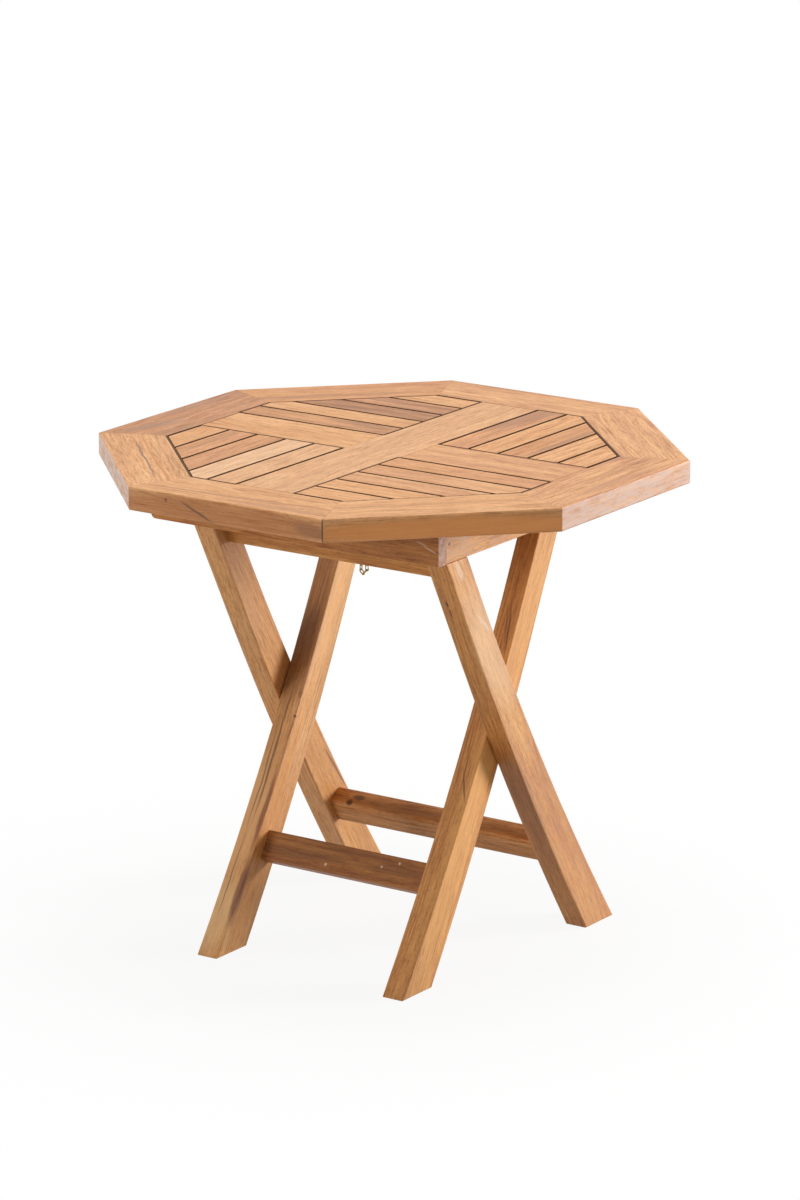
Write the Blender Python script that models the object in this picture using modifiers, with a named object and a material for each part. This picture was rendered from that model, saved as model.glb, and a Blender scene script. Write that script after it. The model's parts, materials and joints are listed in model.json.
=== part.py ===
"""Folding garden table in teak with an octagonal slatted top on two crossed leg frames.

Metres, +Z up. The origin is on the floor under the middle of the top. X runs along the
stretchers and the fold's axes, and -Y is the side where the inner frame's feet stand.
"""
import math

import bmesh
import bpy
from mathutils import Matrix, Vector

# Table top
top_width = 0.800            # across the flats of the octagon
top_height = 0.735           # floor to the upper face
board_width = 0.095          # mitred boards of the octagonal frame
board_thick = 0.034
long_rail_width = 0.097      # middle rail along Y
short_rail_width = 0.096     # middle rails along X
slat_thick = 0.020           # slats and middle rails
slats_per_quarter = 5
slat_gap = 0.0042            # open gap beside each slat
end_gap = 0.0010             # shadow line where a slat or rail ends
tongue_length = 0.009
tongue_thick = 0.007
tongue_shoulder = 0.003      # how far a tongue is set in from a slat's sides
tongue_drop = 0.010          # upper face to the middle of the tongues
board_ease = 0.0022          # rounding of the rim's edges
slat_ease = 0.0007

# Apron under the top
apron_thick = 0.036          # side rails, the same stock as the legs
apron_drop = 0.103           # upper face of the top to the apron's lower edge
apron_ease = 0.0012
front_rail_thick = 0.019     # stands right in front of the outer legs' tops
front_rail_past = 0.059      # runs past the left side rail
front_rail_round = 0.008     # of its left end's lower corner
back_rail_thick = 0.016
back_rail_rise = 0.012       # its lower edge above the apron's
back_rail_space = 0.0035     # between the inner legs' round tops and the back rail
side_inset = 0.180           # rim of the top to the outer faces of the side rails and outer legs

# Leg frames, seen from the side
pivot_y = 0.003
pivot_z = 0.338
leg_thick = 0.036            # along X
frame_space = 0.0025         # between the outer and the inner frame, filled by a washer
leg_width_top = 0.047
leg_width_foot = 0.060
leg_ease = 0.0018
outer_lean = 27.6            # degrees from upright, above the bend
outer_bend_radius = 5.0
outer_bend_above = 0.220     # the bend starts this far above the pivot, along the leg
inner_lean = 25.6
inner_bend_radius = 4.0
inner_bend_above = 0.180
hinge_drop = 0.064           # upper face of the top to the hinge bolts
leg_steps = 10               # straight pieces along each bend

# Cross members, placed by their distance from the pivot along the leg
bar_thick = 0.024
bar_ease = 0.002
stretcher_height = 0.044
outer_stretcher_thick = 0.034
outer_stretcher_ease = 0.008
outer_stretcher_reach = 0.236
outer_stretcher_set = -0.001   # from the leg's middle line towards its upper side
inner_stretcher_reach = 0.229
inner_stretcher_set = -0.005
crossbar_height = 0.032
crossbar_drop = 0.0213       # below the flat tops of the outer legs
crossbar_set = 0.008
tenon_length = 0.020
tenon_thick = 0.010
tenon_shoulder = 0.007       # above and below the tenon

# Metal parts
pin_radius = 0.004
pin_end_cover = 0.010        # wood left beyond each end of the pin
washer_radius = 0.010
washer_thick = 0.0019
bolt_head_radius = 0.009
bolt_head_height = 0.0045
nut_flat_width = 0.013
nut_thick = 0.0065
bolt_end = 0.003             # bolt beyond its nut
screw_radius = 0.0025
screw_head_radius = 0.0045
screw_head_height = 0.003
screw_bore_radius = 0.0055   # wide bore for the head
screw_bore_depth = 0.030
screw_bite = 0.012           # length in the top's wood
eye_wire = 0.0009            # radius
eye_radius = 0.005           # middle of the wire
eye_neck = 0.010
eye_shank = 0.012
lock_x = 0.030               # chain and eyes, right of the middle
top_eye_y = -0.110
link_wire = 0.00085          # radius
link_pitch = 0.0075
link_width = 0.0046          # between the wire's middles
link_overlap = 0.0003        # neighbouring links are joined where they touch
strand_spread = 0.0023       # the loop's two ends on the eye, each side of its middle
left_links = 7
right_links = 4
bottom_slope = 45            # degrees, the two links at the loop's bottom
hook_wire = 0.0009           # radius
hook_bend_radius = 0.0027
hook_tip = 0.003

clearance = 0.0003           # between pieces that touch
small = 0.000001

teak = (0.62, 0.36, 0.17)
teak_tones = ((0.66, 0.40, 0.20), (0.60, 0.34, 0.16), (0.69, 0.44, 0.23), (0.57, 0.33, 0.17),
              (0.64, 0.38, 0.19))
brass = (0.72, 0.53, 0.24)
steel = (0.62, 0.61, 0.58)

apron_bottom = top_height - apron_drop
top_hinge_z = top_height - hinge_drop
half_top = top_width / 2
half_inner = half_top - board_width
board_middle_z = top_height - board_thick / 2
slat_bottom = top_height - slat_thick
tongue_z = top_height - tongue_drop
side_rail_outer_x = half_top - side_inset
outer_leg_x = side_rail_outer_x - leg_thick / 2
inner_leg_x = side_rail_outer_x - leg_thick - frame_space - leg_thick / 2
outer_inside_x = outer_leg_x - leg_thick / 2
inner_outside_x = inner_leg_x + leg_thick / 2
inner_inside_x = inner_leg_x - leg_thick / 2

parts = bpy.data.collections.new("folding_garden_table")
cutters = bpy.data.collections.new("cutters")


def clear_scene():
    for obj in list(bpy.data.objects):
        bpy.data.objects.remove(obj, do_unlink=True)
    bpy.context.scene.collection.children.link(parts)
    bpy.context.scene.collection.children.link(cutters)


def principled(name, colour, roughness, metallic):
    material = bpy.data.materials.new(name)
    material.use_nodes = True
    shader = material.node_tree.nodes["Principled BSDF"]
    shader.inputs["Base Color"].default_value = (*colour, 1.0)
    shader.inputs["Roughness"].default_value = roughness
    shader.inputs["Metallic"].default_value = metallic
    material.diffuse_color = (*colour, 1.0)
    return material


def finish_wood(obj, tone=teak):
    obj.data.materials.append(principled(obj.name + "_teak", tone, 0.55, 0.0))


def finish_metal(obj, colour=brass):
    obj.data.materials.append(principled(obj.name + "_metal", colour, 0.3, 1.0))


def add_mesh(name, bm, place, collection):
    """Make an object from a bmesh and free the bmesh."""
    mesh = bpy.data.meshes.new(name)
    bm.to_mesh(mesh)
    bm.free()
    obj = bpy.data.objects.new(name, mesh)
    obj.matrix_world = place
    collection.objects.link(obj)
    if collection is cutters:
        obj.hide_render = True
        obj.display_type = "WIRE"
    return obj


def settled_mesh(obj):
    """The evaluated mesh of a curve or of an object with modifiers, welded; removes the object."""
    graph = bpy.context.evaluated_depsgraph_get()
    graph.update()
    mesh = bpy.data.meshes.new_from_object(obj.evaluated_get(graph))
    bm = bmesh.new()
    bm.from_mesh(mesh)
    bmesh.ops.remove_doubles(bm, verts=bm.verts, dist=0.000005)
    bmesh.ops.recalc_face_normals(bm, faces=bm.faces)
    bpy.data.meshes.remove(mesh)
    bpy.data.objects.remove(obj, do_unlink=True)
    return bm


def clip(outline, normal_angle, reach):
    """Cut an outline by a line; what lies within reach along the normal is kept."""
    nx = math.cos(normal_angle)
    ny = math.sin(normal_angle)
    kept = []
    for i, (x1, y1) in enumerate(outline):
        x0, y0 = outline[i - 1]
        before = x0 * nx + y0 * ny - reach
        here = x1 * nx + y1 * ny - reach
        if (before < 0) != (here < 0):
            share = before / (before - here)
            kept.append((x0 + (x1 - x0) * share, y0 + (y1 - y0) * share))
        if here < 0:
            kept.append((x1, y1))
    return kept


def rectangle(x0, x1, y0, y1):
    return [(x0, y0), (x1, y0), (x1, y1), (x0, y1)]


def eased(bm, width, chosen, steps=2):
    """Round the edges that the test chooses."""
    edges = [edge for edge in bm.edges if chosen(edge)]
    bmesh.ops.bevel(bm, geom=edges, offset=width, segments=steps, profile=0.5,
                    affect="EDGES", clamp_overlap=True)


def flat_shape(outline, thickness):
    """A flat outline in XY as a solid, centred on Z, with one face on each flat side."""
    data = bpy.data.curves.new("outline", "CURVE")
    data.dimensions = "2D"
    data.fill_mode = "BOTH"
    data.extrude = thickness / 2
    spline = data.splines.new("POLY")
    spline.points.add(len(outline) - 1)
    for point, (x, y) in zip(spline.points, outline):
        point.co = (x, y, 0.0, 1.0)
    spline.use_cyclic_u = True
    obj = bpy.data.objects.new("outline", data)
    bpy.context.scene.collection.objects.link(obj)
    bm = settled_mesh(obj)
    bmesh.ops.dissolve_limit(bm, angle_limit=0.002, verts=bm.verts, edges=bm.edges)
    return bm


def box_shape(size_x, size_y, size_z):
    bm = bmesh.new()
    bmesh.ops.create_cube(bm, size=1.0)
    bmesh.ops.scale(bm, vec=(size_x, size_y, size_z), verts=bm.verts)
    return bm


def round_bar(name, radius, x0, x1, y, z, collection, sides=32):
    """A cylinder along X from x0 to x1."""
    bm = bmesh.new()
    bmesh.ops.create_cone(bm, cap_ends=True, segments=sides, radius1=radius, radius2=radius,
                          depth=abs(x1 - x0))
    place = Matrix.Translation(((x0 + x1) / 2, y, z)) @ Matrix.Rotation(math.pi / 2, 4, "Y")
    return add_mesh(name, bm, place, collection)


def turned_shape(profile, steps=24):
    """Turn a profile of (radius, height) points, from its top down its outer side, about Z."""
    mesh = bpy.data.meshes.new("profile")
    edges = [(i, i + 1) for i in range(len(profile) - 1)]
    if profile[0][0] > small:
        edges.append((len(profile) - 1, 0))
    mesh.from_pydata([(r, 0.0, z) for r, z in profile], edges, [])
    obj = bpy.data.objects.new("profile", mesh)
    bpy.context.scene.collection.objects.link(obj)
    screw = obj.modifiers.new("turn", "SCREW")
    screw.steps = steps
    screw.render_steps = steps
    screw.use_merge_vertices = True
    screw.merge_threshold = 0.00001
    return settled_mesh(obj)


def wire(points, radius, closed=False, roundness=1):
    """A round wire along points, as a welded bmesh with closed ends."""
    data = bpy.data.curves.new("wire", "CURVE")
    data.dimensions = "3D"
    data.bevel_depth = radius
    data.bevel_resolution = roundness
    data.use_fill_caps = True
    spline = data.splines.new("POLY")
    spline.points.add(len(points) - 1)
    for point, place in zip(spline.points, points):
        point.co = (*place, 1.0)
    spline.use_cyclic_u = closed
    obj = bpy.data.objects.new("wire", data)
    bpy.context.scene.collection.objects.link(obj)
    return settled_mesh(obj)


def boolean(obj, other, operation="DIFFERENCE"):
    modifier = obj.modifiers.new(operation.lower(), "BOOLEAN")
    modifier.operation = operation
    modifier.solver = "EXACT"
    modifier.object = other


def hub(name, place):
    """An empty on a joint's axis, which carries the pieces that turn about it."""
    empty = bpy.data.objects.new(name, None)
    empty.empty_display_size = 0.05
    empty.matrix_world = Matrix.Translation(place)
    parts.objects.link(empty)
    return empty


def carry(empty, pieces):
    bpy.context.view_layer.update()
    for piece in pieces:
        piece.parent = empty
        piece.matrix_parent_inverse = empty.matrix_world.inverted()


# Table top

def make_frame_boards():
    """Eight mitred boards of one shape, turned about the middle by 45 degrees each."""
    names = ("right", "back_right", "back", "back_left", "left", "front_left", "front", "front_right")
    turn = math.radians(45)
    outline = rectangle(half_inner, half_top, -half_top, half_top)
    for side in (1, -1):
        outline = clip(outline, side * (turn / 2 + math.pi / 2), -clearance / 2)

    def rim(edge):
        return all(abs(v.co.x - half_top) < small for v in edge.verts) and is_long(edge, 1)

    def inner_rim(edge):
        return all(abs(v.co.x - half_inner) < small and v.co.z > 0 for v in edge.verts)

    bm = flat_shape(outline, board_thick)
    eased(bm, board_ease, rim)
    eased(bm, slat_ease, inner_rim)
    groove = octagon_cutter("groove_ring", half_inner + tongue_length + clearance,
                            tongue_thick + 2 * clearance, tongue_z)
    boards = []
    for i, name in enumerate(names):
        place = Matrix.Rotation(i * turn, 4, "Z") @ Matrix.Translation((0, 0, board_middle_z))
        if not boards:
            board = add_mesh("frame_board_" + name, bm, place, parts)
        else:
            board = bpy.data.objects.new("frame_board_" + name, boards[0].data.copy())
            board.data.materials.clear()
            board.matrix_world = place
            parts.objects.link(board)
        boolean(board, groove)
        finish_wood(board, teak_tones[i % len(teak_tones)])
        boards.append(board)
    return boards


def is_long(edge, axis):
    """An edge that runs along one axis of its piece."""
    run = edge.verts[1].co - edge.verts[0].co
    return abs(run[axis]) > 0.99 * run.length


def octagon_cutter(name, half, thickness, z):
    outline = rectangle(-half, half, -half, half)
    for quarter in range(4):
        outline = clip(outline, math.radians(45 + 90 * quarter), half)
    return add_mesh(name, flat_shape(outline, thickness), Matrix.Translation((0, 0, z)), cutters)


def within_octagon(outline, half):
    for step in range(8):
        outline = clip(outline, math.radians(45 * step), half)
    return outline


def tongued_piece(name, body, tongue, tone):
    """A slat or rail of the top: its body, and a thinner tongue that reaches into the grooves."""
    def upper(edge):
        return all(v.co.z > slat_thick / 2 - small for v in edge.verts) and edge.calc_length() > 0.06

    bm = flat_shape(body, slat_thick)
    eased(bm, slat_ease, upper, 1)
    piece = add_mesh(name, bm, Matrix.Translation((0, 0, top_height - slat_thick / 2)), parts)
    tongue_place = Matrix.Translation((0, 0, tongue_z))
    core = add_mesh(name + "_tongue", flat_shape(tongue, tongue_thick), tongue_place, cutters)
    boolean(piece, core, "UNION")
    finish_wood(piece, tone)
    return piece


def make_middle_rails():
    """One long rail along Y and two short ones that butt against it."""
    half_long = long_rail_width / 2
    half_short = short_rail_width / 2
    reach = half_inner - end_gap
    tip = half_inner + tongue_length
    body = rectangle(-half_long, half_long, -reach, reach)
    tongue = rectangle(-half_long + 0.02, half_long - 0.02, -tip, tip)
    long_rail = tongued_piece("long_rail", body, tongue, teak_tones[2])
    rails = [long_rail]
    butt = half_long + end_gap
    root = half_long - tongue_length
    for side, name in ((1, "short_rail_right"), (-1, "short_rail_left")):
        low, high = sorted((side * butt, side * reach))
        body = rectangle(low, high, -half_short, half_short)
        low, high = sorted((side * root, side * tip))
        tongue = rectangle(low, high, -half_short + 0.02, half_short - 0.02)
        rail = tongued_piece(name, body, tongue, teak_tones[1 if side > 0 else 4])
        rails.append(rail)
    depth = tongue_length + clearance
    height = tongue_thick + 2 * clearance
    for side in (1, -1):
        # grooves run the whole length; the slats that run along X and the short rails' tongues enter them
        groove = add_mesh("long_rail_groove_%d" % (side + 1), box_shape(2 * depth, 2 * half_inner, height),
                          Matrix.Translation((side * half_long, 0, tongue_z)), cutters)
        boolean(long_rail, groove)
        rail = rails[1] if side > 0 else rails[2]
        middle = side * (butt + reach) / 2
        groove = add_mesh(rail.name + "_groove", box_shape(half_inner, 2 * depth, height),
                          Matrix.Translation((middle, side * half_short, tongue_z)), cutters)
        boolean(rail, groove)
    return rails


def make_slats():
    """Five slats a quarter, turned a right angle from each quarter to the next."""
    slats = []
    quarters = (("back_right", 1, 1, "Y"), ("back_left", -1, 1, "X"),
                ("front_left", -1, -1, "Y"), ("front_right", 1, -1, "X"))
    for q, (quarter, sx, sy, run) in enumerate(quarters):
        side_edge = long_rail_width / 2 if run == "Y" else short_rail_width / 2
        end_edge = short_rail_width / 2 if run == "Y" else long_rail_width / 2
        width = (half_inner - side_edge - (slats_per_quarter + 1) * slat_gap) / slats_per_quarter
        for i in range(slats_per_quarter):
            near = side_edge + slat_gap + i * (width + slat_gap)
            far = near + width
            inset = tongue_shoulder
            body = rectangle(near, far, end_edge + end_gap, half_inner - end_gap)
            body = within_octagon(body, half_inner - end_gap)
            tongue = rectangle(near + inset, far - inset, end_edge - tongue_length,
                               half_inner + tongue_length)
            tongue = within_octagon(tongue, half_inner + tongue_length)
            if run == "X":
                body = [(y, x) for x, y in body]
                tongue = [(y, x) for x, y in tongue]
            body = [(sx * x, sy * y) for x, y in body]
            tongue = [(sx * x, sy * y) for x, y in tongue]
            name = "slat_%s_%d" % (quarter, i + 1)
            slats.append(tongued_piece(name, body, tongue, teak_tones[(2 * i + q) % len(teak_tones)]))
    return slats


def make_apron():
    """Two side rails, a front rail over their ends and a back rail between them."""
    top = slat_bottom - clearance
    side_front = front_rail_y + front_rail_thick + clearance
    back_low = apron_bottom + back_rail_rise
    inside = outer_inside_x - clearance
    sizes = {
        "side_rail_right": (outer_inside_x, side_rail_outer_x, side_front, back_rail_y, apron_bottom),
        "side_rail_left": (-side_rail_outer_x, -outer_inside_x, side_front, back_rail_y, apron_bottom),
        "front_rail": (-side_rail_outer_x - front_rail_past, side_rail_outer_x, front_rail_y,
                       front_rail_y + front_rail_thick, apron_bottom),
        "back_rail": (-inside, inside, back_rail_y - back_rail_thick, back_rail_y, back_low),
    }
    notches = [board_space(side) for side in (1, 3, 5, 7)]
    rails = {}
    for i, (name, (x0, x1, y0, y1, low)) in enumerate(sizes.items()):
        bm = box_shape(x1 - x0, y1 - y0, top - low)
        axis = 0 if x1 - x0 > y1 - y0 else 1
        if name == "front_rail":
            eased(bm, front_rail_round, lambda edge: is_long(edge, 1)
                  and edge.verts[0].co.z < 0 and edge.verts[0].co.x < 0, 4)
        eased(bm, apron_ease, lambda edge, axis=axis, half=(top - low) / 2: is_long(edge, axis)
              and edge.verts[0].co.z < small - half, 1)
        rail = add_mesh(name, bm, Matrix.Translation(((x0 + x1) / 2, (y0 + y1) / 2, (top + low) / 2)), parts)
        for notch in notches:
            boolean(rail, notch)
        finish_wood(rail, teak_tones[(i + 1) % len(teak_tones)])
        rails[name] = rail
    return rails


def board_space(side):
    """Room for a diagonal frame board, which is thicker than the slats, above the apron."""
    low = top_height - board_thick - clearance
    reach = half_inner - clearance
    place = Matrix.Rotation(side * math.radians(45), 4, "Z")
    place = place @ Matrix.Translation(((reach + half_top) / 2, 0, (low + top_height) / 2))
    return add_mesh("board_space_%d" % side, box_shape(half_top - reach, top_width, top_height - low),
                    place, cutters)


# Leg frames

class LegLine:
    """The middle line of a leg in the YZ plane, by the distance s below the pivot.

    It is straight above its bend and an arc below. side is 1 where the foot stands at the
    back, and -1 where it stands at the front. out is the distance from the line towards the
    leg's upper side.
    """

    def __init__(self, side, lean, radius, above):
        self.side = side
        self.lean = math.radians(lean)
        self.radius = radius
        self.above = above
        self.foot = self.at_height(0.0, 0)

    def angle(self, s):
        return self.lean + max(0.0, s + self.above) / self.radius

    def run(self, s):
        """Offset from the start of the bend, leaning towards the foot and up."""
        a = self.angle(s)
        if s + self.above <= 0:
            return math.sin(a) * (s + self.above), -math.cos(a) * (s + self.above)
        return (self.radius * (math.cos(self.lean) - math.cos(a)),
                self.radius * (math.sin(self.lean) - math.sin(a)))

    def point(self, s, out=0.0):
        a = self.angle(s)
        y0, z0 = self.run(0.0)
        y, z = self.run(s)
        y += out * math.cos(a) - y0
        z += out * math.sin(a) - z0
        return pivot_y + self.side * y, pivot_z + z

    def half_width(self, s):
        share = max(0.0, s + self.above) / (self.foot + self.above)
        return (leg_width_top + (leg_width_foot - leg_width_top) * share) / 2

    def at_height(self, height, edge):
        """The s at which the middle line, or an edge at 1 or -1, has a height."""
        low, high = -0.6, 0.6
        for _ in range(50):
            middle = (low + high) / 2
            out = edge * self.half_width(middle) if edge else 0.0
            if self.point(middle, out)[1] > height:
                low = middle
            else:
                high = middle
        return (low + high) / 2

    def edge_points(self, edge, s0, s1):
        """Points down one edge of the leg, closer together along the bend."""
        bend = [-self.above + (s1 + self.above) * i / leg_steps for i in range(leg_steps + 1)]
        return [self.point(s, edge * self.half_width(s)) for s in [s0] + bend]


outer_line = LegLine(1, outer_lean, outer_bend_radius, outer_bend_above)
inner_line = LegLine(-1, inner_lean, inner_bend_radius, inner_bend_above)
top_hinge_s = inner_line.at_height(top_hinge_z, 0)
top_hinge_y = inner_line.point(top_hinge_s)[0]
outer_cut = apron_bottom - clearance      # the outer legs' flat tops
crossbar_s = outer_line.at_height(outer_cut, 0) + crossbar_drop
outer_top_s = outer_line.at_height(outer_cut, -1)
outer_top_front = outer_line.point(outer_top_s, -outer_line.half_width(outer_top_s))[0]
front_rail_y = outer_top_front - clearance - front_rail_thick
back_rail_y = top_hinge_y + inner_line.half_width(top_hinge_s) + back_rail_space + back_rail_thick


def side_place(x):
    """Stands an outline drawn in (Y, Z) upright, at x."""
    return Matrix(((0, 0, 1, x), (1, 0, 0, 0), (0, 1, 0, 0), (0, 0, 0, 1)))


def leg_outline(line, top_height_cut=None):
    """A leg with a flat foot, and a top cut level, or else round about the top's hinge."""
    low_edge = line.edge_points(-1, 0, line.at_height(0.0, -1))
    high_edge = line.edge_points(1, 0, line.at_height(0.0, 1))
    if top_height_cut is not None:
        for edge, points in ((-1, low_edge), (1, high_edge)):
            s = line.at_height(top_height_cut, edge)
            points[0] = line.point(s, edge * line.half_width(s))
        return high_edge + low_edge[::-1]
    radius = line.half_width(top_hinge_s)
    a = line.angle(top_hinge_s)
    crown = []
    for i in range(13):
        turn = math.pi * i / 12
        out = radius * math.cos(turn)
        rise = radius * math.sin(turn)
        y, z = line.point(top_hinge_s, out)
        crown.append((y - line.side * rise * math.sin(a), z + rise * math.cos(a)))
    return crown[::-1] + high_edge[1:] + low_edge[:0:-1]


def make_leg(name, line, x, cut, tone):
    outline = leg_outline(line, cut)
    if cut is None:
        outline = leg_outline_closed(outline)
    bm = flat_shape(outline, leg_thick)
    eased(bm, leg_ease, between_sides)
    leg = add_mesh(name, bm, side_place(x), parts)
    finish_wood(leg, tone)
    return leg


def leg_outline_closed(outline):
    """Drops points that repeat."""
    kept = []
    for point in outline:
        if not kept or math.dist(point, kept[-1]) > 0.0001:
            kept.append(point)
    return kept


def between_sides(edge):
    """An edge between a piece's broad side and its rim."""
    broad = [abs(face.normal.z) > 0.99 for face in edge.link_faces]
    return len(broad) == 2 and broad[0] != broad[1]


def cross_member(name, line, s, set_out, thick, height, inside_x, ease, legs, tone):
    """A bar between a frame's two legs, parallel to their lean, with a tenon in each leg."""
    y, z = line.point(s, set_out)
    place = Matrix.Translation((0, y, z)) @ Matrix.Rotation(line.side * line.angle(s), 4, "X")
    body_length = 2 * (inside_x - clearance)
    tenon_height = height - 2 * tenon_shoulder
    bm = box_shape(body_length, thick, height)
    eased(bm, ease, lambda edge: is_long(edge, 0), 3)
    bar = add_mesh(name, bm, place, parts)
    tenon = add_mesh(name + "_tenon", box_shape(2 * (inside_x + tenon_length), tenon_thick, tenon_height),
                     place, cutters)
    boolean(bar, tenon, "UNION")
    mortise = add_mesh(name + "_mortise",
                       box_shape(2 * (inside_x + tenon_length + clearance),
                                 tenon_thick + 2 * clearance, tenon_height + 2 * clearance),
                       place, cutters)
    for leg in legs:
        boolean(leg, mortise)
    finish_wood(bar, tone)
    return bar


def make_outer_frame():
    """The wide frame: its feet stand at the back and its tops bear under the apron's front."""
    legs = [make_leg("outer_leg_right", outer_line, outer_leg_x, outer_cut, teak_tones[0]),
            make_leg("outer_leg_left", outer_line, -outer_leg_x, outer_cut, teak_tones[4])]
    stretcher = cross_member("outer_stretcher", outer_line, outer_stretcher_reach, outer_stretcher_set,
                             outer_stretcher_thick, stretcher_height, outer_inside_x,
                             outer_stretcher_ease, legs, teak_tones[3])
    crossbar = cross_member("outer_crossbar", outer_line, crossbar_s, crossbar_set, bar_thick,
                            crossbar_height, outer_inside_x, bar_ease, legs, teak_tones[3])
    return legs, stretcher, crossbar


def make_inner_frame():
    """The narrow frame: its feet stand at the front and its tops are hinged to the apron."""
    legs = [make_leg("inner_leg_right", inner_line, inner_leg_x, None, teak_tones[1]),
            make_leg("inner_leg_left", inner_line, -inner_leg_x, None, teak_tones[2])]
    stretcher = cross_member("inner_stretcher", inner_line, inner_stretcher_reach, inner_stretcher_set,
                             bar_thick, stretcher_height, inner_inside_x, bar_ease, legs, teak_tones[1])
    return legs, stretcher


# Metal parts

def across(x, y, z, side):
    """Turns a shape's Z towards the outside of the table, at a place."""
    return Matrix.Translation((side * x, y, z)) @ Matrix.Rotation(side * math.pi / 2, 4, "Y")


def washer_shape(hole):
    half = washer_thick / 2
    return turned_shape([(washer_radius, half), (washer_radius, -half), (hole, -half), (hole, half)])


def bore(name, radius, x0, x1, y, z, pieces):
    cutter = round_bar(name, radius, x0, x1, y, z, cutters)
    for piece in pieces:
        boolean(piece, cutter)


def make_washer(name, x, y, z, side, colour):
    washer = add_mesh(name, washer_shape(pin_radius + clearance), across(x, y, z, side), parts)
    finish_metal(washer, colour)
    return washer


def make_scissor_pivots(inner_legs, outer_legs):
    """A pin in each crossing, blind in both legs, with a washer between them."""
    inner_end = inner_inside_x + pin_end_cover
    outer_end = side_rail_outer_x - pin_end_cover
    middle = (inner_outside_x + outer_inside_x) / 2
    metal = []
    for i, side in enumerate((1, -1)):
        hand = "right" if side > 0 else "left"
        pin = round_bar("pivot_pin_" + hand, pin_radius, side * inner_end, side * outer_end,
                        pivot_y, pivot_z, parts)
        finish_metal(pin)
        bore("pivot_bore_" + hand, pin_radius + clearance, side * (inner_end - clearance),
             side * (outer_end + clearance), pivot_y, pivot_z, (inner_legs[i], outer_legs[i]))
        metal += [pin, make_washer("pivot_washer_" + hand, middle, pivot_y, pivot_z, side, brass)]
    return metal


def make_top_hinges(inner_legs, rails):
    """A domed bolt through each side rail and inner leg, a washer between them and a nut inside."""
    face = side_rail_outer_x + clearance
    nut_x = inner_inside_x - clearance - nut_thick / 2
    end = nut_x - nut_thick / 2 - bolt_end
    middle = (inner_outside_x + outer_inside_x) / 2
    metal = []
    for i, side in enumerate((1, -1)):
        hand = "right" if side > 0 else "left"
        dome = [(bolt_head_radius * math.sin(math.radians(t)), bolt_head_height * math.cos(math.radians(t)))
                for t in (0, 30, 60, 90)]
        profile = dome + [(pin_radius, 0), (pin_radius, end - face), (0, end - face)]
        bolt = add_mesh("hinge_bolt_" + hand, turned_shape(profile),
                        across(face, top_hinge_y, top_hinge_z, side), parts)
        bm = bmesh.new()
        radius = nut_flat_width / math.sqrt(3)
        bmesh.ops.create_cone(bm, cap_ends=True, segments=6, radius1=radius, radius2=radius, depth=nut_thick)
        nut = add_mesh("hinge_nut_" + hand, bm, across(nut_x, top_hinge_y, top_hinge_z, side), parts)
        bore("hinge_bore_" + hand, pin_radius + clearance, side * (end - pin_radius),
             side * (side_rail_outer_x + pin_radius), top_hinge_y, top_hinge_z,
             (inner_legs[i], rails["side_rail_" + hand], nut))
        finish_metal(bolt, steel)
        finish_metal(nut, steel)
        metal += [bolt, nut, make_washer("hinge_washer_" + hand, middle, top_hinge_y, top_hinge_z, side, steel)]
    return metal


def make_apron_screws(apron, middle_rails):
    """Screws up through the apron into the middle rails that lie on it."""
    long_rail, short_right, short_left = middle_rails
    front_y = front_rail_y + front_rail_thick / 2
    back_y = back_rail_y - back_rail_thick / 2
    places = (("right", "side_rail_right", short_right, outer_leg_x, 0.0),
              ("left", "side_rail_left", short_left, -outer_leg_x, 0.0),
              ("front", "front_rail", long_rail, 0.0, front_y),
              ("back", "back_rail", long_rail, 0.0, back_y))
    head_z = apron_bottom + screw_bore_depth
    tip_z = slat_bottom + screw_bite
    profile = [(0, tip_z - head_z), (screw_radius, tip_z - head_z - 2 * screw_radius),
               (screw_radius, 0), (screw_head_radius, 0), (screw_head_radius, -screw_head_height),
               (0, -screw_head_height)]
    screws = []
    for name, rail, above, x, y in places:
        screw = add_mesh("apron_screw_" + name, turned_shape(profile, 16),
                         Matrix.Translation((x, y, head_z - clearance)), parts)
        finish_metal(screw, steel)
        shank = upright_bar("screw_hole_" + name, screw_radius + clearance, head_z - clearance,
                            tip_z + clearance, x, y)
        head = upright_bar("screw_bore_" + name, screw_bore_radius, apron_bottom - screw_bore_depth,
                           head_z, x, y)
        boolean(apron[rail], head)
        boolean(apron[rail], shank)
        boolean(above, shank)
        screws.append(screw)
    return screws


def upright_bar(name, radius, z0, z1, x, y):
    bm = bmesh.new()
    bmesh.ops.create_cone(bm, cap_ends=True, segments=24, radius1=radius, radius2=radius, depth=z1 - z0)
    return add_mesh(name, bm, Matrix.Translation((x, y, (z0 + z1) / 2)), cutters)


def eye_points(base, outward, sideways):
    """A screw eye's wire: shank, neck and a ring that stays just open beside the neck."""
    centre = base + outward * (eye_neck + eye_radius)
    points = [base - outward * eye_shank, base, base + outward * (eye_neck - eye_wire)]
    for i in range(17):
        turn = math.radians(-90 + (360 - 29) * i / 16)
        points.append(centre + outward * eye_radius * math.sin(turn) + sideways * eye_radius * math.cos(turn))
    return points


def make_eye(name, base, outward, sideways, piece):
    eye = add_mesh(name, wire(eye_points(base, outward, sideways), eye_wire), Matrix(), parts)
    finish_metal(eye)
    turn = outward.to_track_quat("Z", "Y").to_matrix().to_4x4()
    bm = bmesh.new()
    depth = eye_shank + 2 * clearance
    bmesh.ops.create_cone(bm, cap_ends=True, segments=16, radius1=eye_wire + clearance,
                          radius2=eye_wire + clearance, depth=2 * depth)
    boolean(piece, add_mesh(name + "_bore", bm, Matrix.Translation(base) @ turn, cutters))
    return eye


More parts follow.
